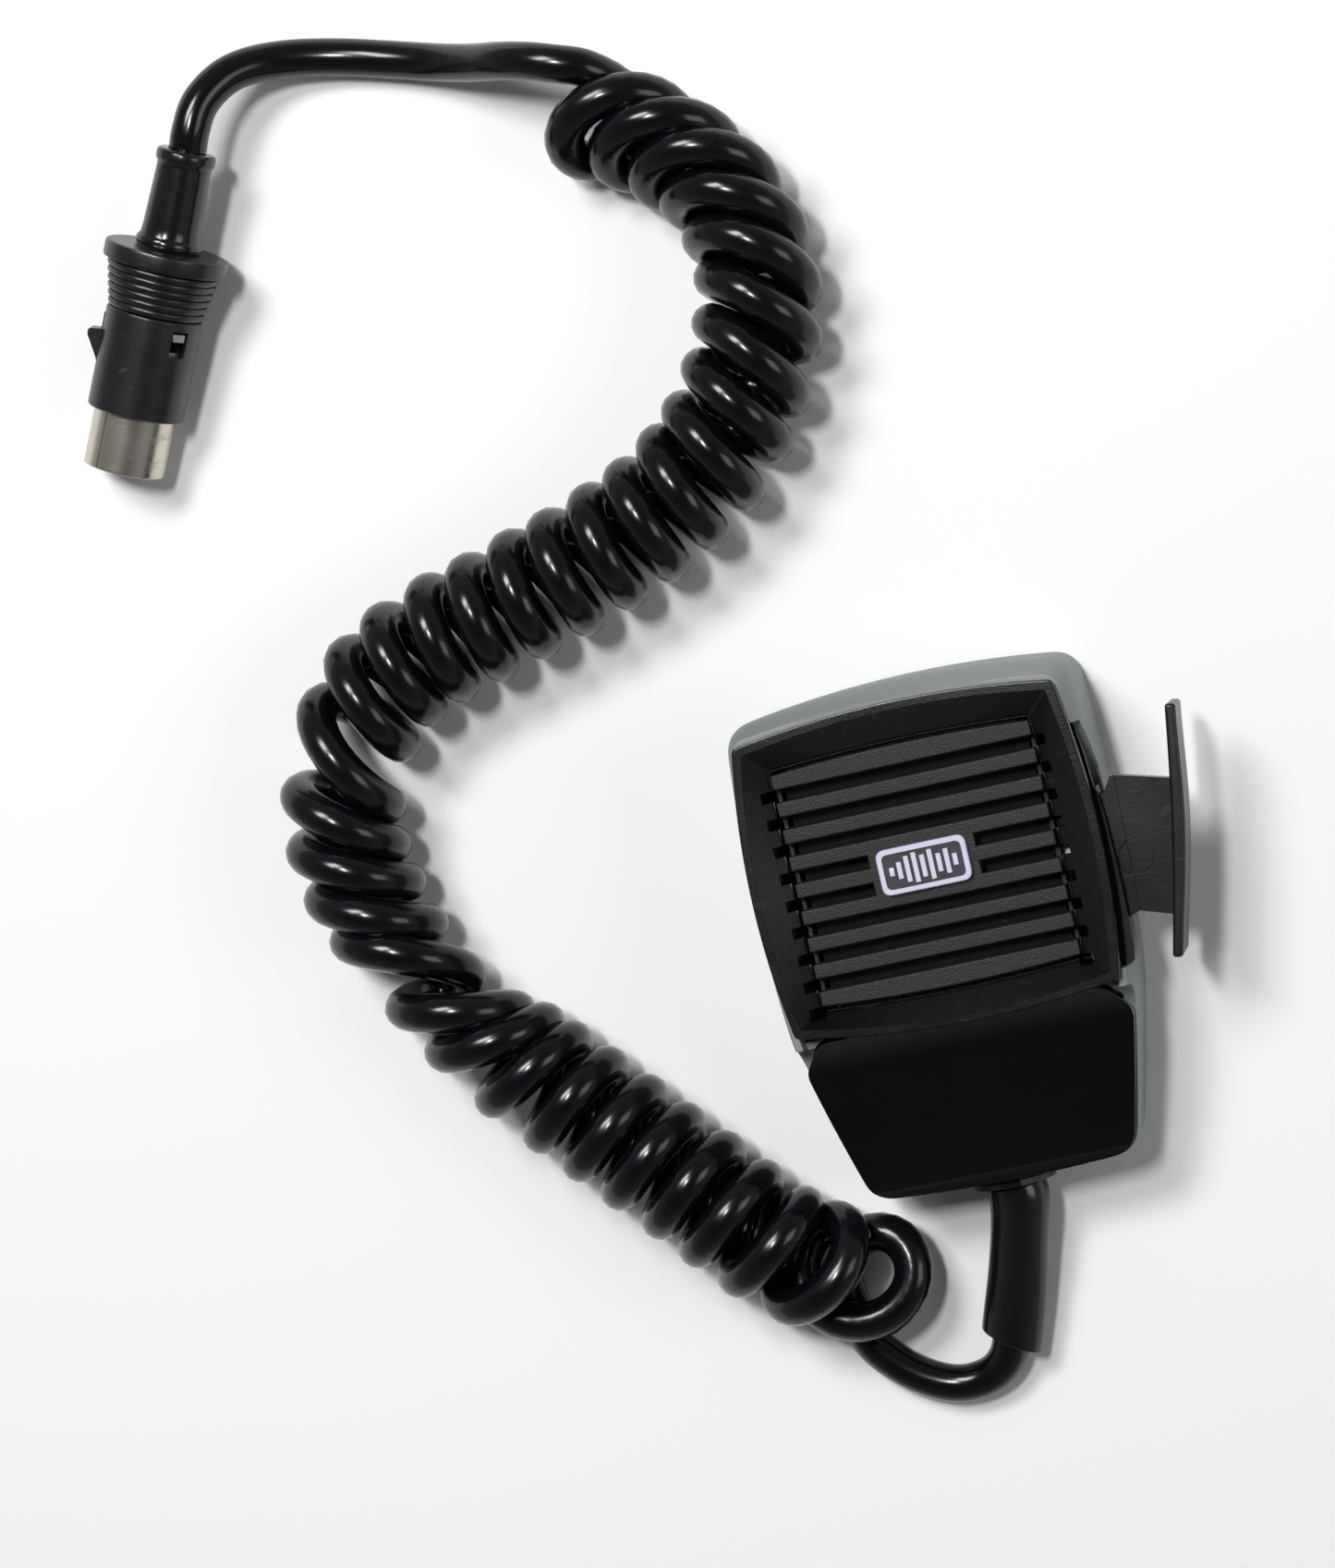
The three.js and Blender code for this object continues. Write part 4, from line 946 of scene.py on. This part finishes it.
def sleeve_ring(i, half_wide, half_high, slant):
    here = centre_line[i]
    ahead = centre_line[min(i + 1, len(centre_line) - 1)] - centre_line[max(i - 1, 0)]
    ahead.normalize()
    side = ahead.cross(up).normalized()
    lift = side.cross(ahead)
    ring = []
    for k in range(SLEEVE_SIDES):
        a = 2 * math.pi * k / SLEEVE_SIDES
        out = side * math.cos(a) * half_wide + lift * math.sin(a) * half_high
        ring.append(here + out + ahead * slant * math.cos(a))
    return ring


def end_slant(t):
    return -1.2 * max(0, t - 0.7) / 0.3


rings = []
last_ring = len(centre_line) - 1
for i in range(last_ring + 1):
    t = i / last_ring
    bulge = 1 + 0.02 * math.sin(9 * t)
    rings.append(sleeve_ring(i, (4.7 + 0.25 * t) * bulge, 4.5 - 0.35 * t, end_slant(t)))
for i in range(last_ring, -1, -1):
    t = i / last_ring
    rings.append(sleeve_ring(i, 4.0 + 0.25 * t, 3.8 - 0.3 * t, end_slant(t)))
verts = [p for ring in rings for p in ring]
n = SLEEVE_SIDES
faces = []
for r in range(len(rings)):
    here, after = r * n, (r + 1) % len(rings) * n
    faces += [(here + k, here + (k + 1) % n, after + (k + 1) % n, after + k) for k in range(n)]
sleeve = new_object("cord_sleeve_tube", verts, faces)
outward(sleeve)
rounded(sleeve, 0.15, 2, 50)
piece(sleeve, "root", SLEEVE, ["cord_sleeve"], smooth=50)

# %% [markdown]
# ## The plug
# Its pieces are turned round one axis, so each is a profile spun about it. The helper spins a profile
# about Y and moves it to where the plug lies, resting on its flange and its metal shell.

# %% Plug helpers
PLUG_MOUTH = (-117.0, 87.4, 6.9)
PLUG_YAW = math.radians(-27.6)
PLUG_LIFT = math.radians(5.6)
plug_place = (Matrix.Translation(PLUG_MOUTH) @ Matrix.Rotation(PLUG_YAW, 4, "Z")
              @ Matrix.Rotation(PLUG_LIFT, 4, "X"))
LATCH_TURN = math.radians(-78)
TAB_TURN = math.radians(56)


def turned(name, profile, steps=96):
    """Spin a profile of (radius, distance) about the plug's axis; it closes on itself or on the axis."""
    verts = [(r * math.sin(a), y, r * math.cos(a))
             for a in (2 * math.pi * k / steps for k in range(steps)) for r, y in profile]
    m = len(profile)
    faces = []
    for k in range(steps):
        here, after = k * m, (k + 1) % steps * m
        faces += [(here + i, here + (i + 1) % m, after + (i + 1) % m, after + i) for i in range(m)]
    obj = new_object(name, verts, faces)
    outward(obj)
    return obj


def around_plug(obj, angle):
    obj.data.transform(Matrix.Rotation(angle, 4, "Y"))
    return obj


def plug_piece(obj, body, material, replaces=(), smooth=35):
    obj.data.transform(plug_place)
    return piece(obj, body, material, replaces, smooth)


print("plug mouth at", PLUG_MOUTH)

# %% [markdown]
# The metal shell is a rolled tube with a seam, a flat key that finds the right way round, and room for
# the latch. All three are cuts in one turned tube.

# %% Metal shell
METAL_R = 6.6
metal = turned("plug_shell_tube", [
    (6.0, 0.25), (6.12, 0), (6.48, 0), (METAL_R, 0.2), (METAL_R, 21), (6.0, 21)])
latch_room = around_plug(box("latch_room", -1.9, 1.9, 14.5, 22, 4, 9), LATCH_TURN)
seam = around_plug(box("seam", -0.15, 0.15, -1, 9.2, 6.3, 7), -0.4)
key = around_plug(box("key", -1.0, 1.0, -1, 6.2, 6.3, 7), TAB_TURN + 1.1)
cut(metal, latch_room, seam)
cut(metal, key)
rounded(metal, 0.06, 2)
plug_piece(metal, "root", NICKEL, ["plug_shell"])

# %% [markdown]
# The barrel is a plastic tube over the metal shell, with a window for the latch and one for the tab.

# %% Barrel
barrel = turned("plug_barrel_skin", [
    (6.9, 9.5), (7.55, 9.5), (7.8, 9.75), (7.8, 25.7), (7.6, 26.0), (6.9, 26.0)])
cut(barrel, around_plug(box("latch_window", -1.9, 1.9, 16.2, 25.0, 5, 12), LATCH_TURN),
    around_plug(box("tab_window", -1.5, 1.5, 20.4, 24.6, 5, 12), TAB_TURN))
rounded(barrel, 0.14, 2)
plug_piece(barrel, "root", PLUG, ["plug_barrel"])

# %% [markdown]
# The grip's ribs get wider towards its flange. They all go round, so one profile, built by a loop over
# the ribs, makes them with the flange in a single turn.

# %% Grip
RIBS = 6
RIBS_FROM, RIBS_TO = 26.3, 33.6
BORE_R = 3.4
rib_pitch = (RIBS_TO - RIBS_FROM) / RIBS
grip_profile = [(BORE_R, RIBS_FROM), (7.6, RIBS_FROM)]
for i in range(RIBS):
    radius = 7.7 + 1.5 * (i + 0.5) / RIBS
    y = RIBS_FROM + i * rib_pitch
    grip_profile += [(radius - 0.12, y + rib_pitch * 0.16), (radius, y + rib_pitch * 0.32),
                     (radius, y + rib_pitch * 0.66), (radius - 0.12, y + rib_pitch * 0.8),
                     (radius - 0.5, y + rib_pitch * 0.88), (radius - 0.5, y + rib_pitch)]
grip_profile += [(9.5, 33.65), (9.85, 33.8), (10, 34.1), (10, 36.0), (9.85, 36.35), (9.5, 36.5),
                 (BORE_R, 36.5)]
grip = turned("plug_grip_ribs", grip_profile)
plug_piece(grip, "root", PLUG, ["plug_grip"], smooth=38)

# %% [markdown]
# The boot keeps the cord from bending sharply where it leaves the plug. It is one turned profile.

# %% Boot
boot_profile = [(3.1, 36.8), (5.2, 36.8), (5.35, 37.1), (5.35, 37.9), (5.1, 38.25), (4.85, 38.6), (4.7, 40),
                (4.35, 49.8), (4.4, 50.3), (4.7, 50.7), (4.78, 51.0), (4.78, 51.9), (4.6, 52.3), (4.3, 52.5),
                (3.15, 52.5)]
boot = turned("plug_boot_skin", boot_profile, 64)
plug_piece(boot, "root", SLEEVE, ["plug_boot"], smooth=40)

# %% [markdown]
# The latch is a small arm with a wedge, pressed in to free the plug, so it rides on its own body. The tab
# beside it is a corner of the metal inside, seen through its window.

# %% Latch and tab
latch = box("plug_latch_arm", -1.5, 1.5, 16.6, 24.6, 7.0, 7.8)
wedge = side_profile("wedge", [(16.6, 7.6), (21.8, 7.6), (21.5, 9.6), (21.2, 9.9), (20.4, 9.85)], -1.5, 1.5)
join(latch, wedge)
rounded(latch, 0.18, 3)
plug_piece(around_plug(latch, LATCH_TURN), "latch", PLUG, ["plug_latch"])
tab = box("plug_tab_plate", -1.15, 1.15, 22.9, 24.2, 7.0, 7.5)
rounded(tab, 0.15, 3)
plug_piece(around_plug(tab, TAB_TURN), "root", STEEL, ["plug_window_tab"])

# %% [markdown]
# The five contacts stand on a half circle. One contact with a domed tip is copied by Geometry Nodes
# along that arc.

# %% Contacts
PINS, PIN_ARC_R = 5, 3.5
ARC, given, points = copies_tree("half_ring_of_copies", [("Count", "Int"), ("Radius", "Float")])
arc = ARC.nodes.new("GeometryNodeCurveArc")
arc.inputs["Start Angle"].default_value = 0
arc.inputs["Sweep Angle"].default_value = math.pi
flip = ARC.nodes.new("GeometryNodeTransform")
flip.inputs["Rotation"].default_value = (math.pi / 2, 0, 0)
ARC.links.new(given.outputs["Count"], arc.inputs["Resolution"])
ARC.links.new(given.outputs["Radius"], arc.inputs["Radius"])
ARC.links.new(arc.outputs["Curve"], flip.inputs["Geometry"])
ARC.links.new(flip.outputs["Geometry"], points)
pin_profile = [(0.001, 2.6), (0.35, 2.65), (0.6, 2.85), (0.7, 3.2), (0.7, 15), (0.001, 15)]
contacts = turned("plug_contacts", pin_profile, 20)
repeated(contacts, ARC, Count=PINS, Radius=PIN_ARC_R, Material=NICKEL)
plug_piece(contacts, "root", NICKEL, [f"plug_pin_{i}" for i in range(1, PINS + 1)])

# %% [markdown]
# ## Screws
# The four case screws have a domed head with a cross recess, sunk in the back. A screw is a loft of
# circles with two boxes cut out, each turned its own way. The two at the narrow end are shorter.

# %% Case screws
HEAD_PROFILE = [(1.9, 0.3), (2.45, 0.42), (2.75, 0.75), (2.8, 1.1), (2.8, 1.6), (1.3, 1.6)]
LONG_SHANK, SHORT_SHANK = 20.6, 15.6
for i, (x, y) in enumerate(SHELL_SCREWS):
    shank_end = (1.3, LONG_SHANK if i < 2 else SHORT_SHANK)
    head = loft(f"case_screw_head_{i + 1}", [(z, circle(0, 0, r, 40)) for r, z in [*HEAD_PROFILE, shank_end]])
    outward(head)
    angle = 0.4 + i * 1.3
    arms = []
    for a in (angle, angle + math.pi / 2):
        arm = box("arm", -1.6, 1.6, -0.3, 0.3, -1, 1.0)
        arm.data.transform(Matrix.Rotation(a, 4, "Z"))
        arms.append(arm)
    cut(head, *arms)
    head.data.transform(Matrix.Translation((x, y, 0)))
    piece(head, "root", STEEL, [f"case_screw_{i + 1}"])

# %% [markdown]
# ## Pieces that stay as designed
# The parts inside are hidden behind the cloth and the walls. Their shapes come from the frame as they
# are, with finishes of their own.

# %% Finishes for the carried-over nodes
CARRIED = (
    (STEEL, "ptt_pivot_pin lever_spring board_screw_1 board_screw_2 mic_capsule matching_transformer"
            " clamp_screw_1 clamp_screw_2"),
    (BOARD, "circuit_board volume_trimmer"), (BLACK, "ptt_switch cable_clamp"), (CORD, "cord_inner"),
    (SLEEVE, "capsule_ring cord_grommet"), (BRASS, "stud_insert"), (WHITE, "switch_plunger lead_white"),
    (RED, "lead_red"), (YELLOW, "lead_yellow"), (INSULATOR, "plug_insulator"))
for material, names in CARRIED:
    for name in names.split():
        for place in frame["nodes"][name].material_slots:
            place.material = material
    print(material.name, "on", names)

# %% [markdown]
# The last step prints where the cord leaves the sleeve.

# %% Where the cord leaves
print("the cord leaves at", tuple(round(v, 4) for v in world(SLEEVE_END)))

# %% [markdown]
# ## Floor and light
# A pale floor, a large soft light above and to the left for the body of the light, a small one that draws
# the short bright marks on each turn of the gloss cord, and a weak one from the right.

# %% Floor
floor_material = bpy.data.materials.new("pale_floor")
floor_material.use_nodes = True
floor_shader = floor_material.node_tree.nodes["Principled BSDF"]
floor_shader.inputs["Base Color"].default_value = (0.78, 0.78, 0.78, 1)
floor_shader.inputs["Roughness"].default_value = 0.8
FLOOR_HALF = 3
corners = [(-FLOOR_HALF, -FLOOR_HALF, 0), (FLOOR_HALF, -FLOOR_HALF, 0),
           (FLOOR_HALF, FLOOR_HALF, 0), (-FLOOR_HALF, FLOOR_HALF, 0)]
floor = new_object("floor", corners, [(0, 1, 2, 3)])
floor.data.materials.append(floor_material)
print("floor", 2 * FLOOR_HALF, "m across")

# %% [markdown]
# The lights are flat panels, pointed at the microphone. The sky is bright near the horizon and dark
# overhead, because gloss plastic that lies flat mirrors what is above it and has to stay black.

# %% Lights


def area_light(name, place, aim, size, power, shape="RECTANGLE", tall=None):
    data = bpy.data.lights.new(name, "AREA")
    data.shape = shape
    data.size = size
    data.size_y = tall or size
    data.energy = power
    light = bpy.data.objects.new(name, data)
    light.location = place
    light.rotation_euler = (Vector(aim) - Vector(place)).to_track_quat("-Z", "Y").to_euler()
    scene.collection.objects.link(light)
    return light


area_light("key", (-0.28, 0.62, 0.95), (-0.02, 0.04, 0), 0.4, 8.6, tall=0.26)
area_light("window", (-0.07, 0.3, 0.9), (-0.04, 0.04, 0), 0.07, 4.2, tall=0.14)
area_light("fill", (0.9, -0.1, 0.75), (0, 0, 0), 0.5, 2.4)

surroundings = bpy.data.worlds.new("surroundings")
surroundings.use_nodes = True
room, room_links = surroundings.node_tree.nodes, surroundings.node_tree.links
HORIZON, OVERHEAD = 0.4, 0.03
direction = room.new("ShaderNodeTexCoord")
split = room.new("ShaderNodeSeparateXYZ")
height = room.new("ShaderNodeMapRange")
height.inputs["To Min"].default_value = HORIZON
height.inputs["To Max"].default_value = OVERHEAD
room_links.new(direction.outputs["Generated"], split.inputs[0])
room_links.new(split.outputs["Z"], height.inputs["Value"])
room_links.new(height.outputs["Result"], room["Background"].inputs["Strength"])
room["Background"].inputs["Color"].default_value = (0.94, 0.96, 1, 1)
scene.world = surroundings
scene.view_settings.view_transform = "Standard"
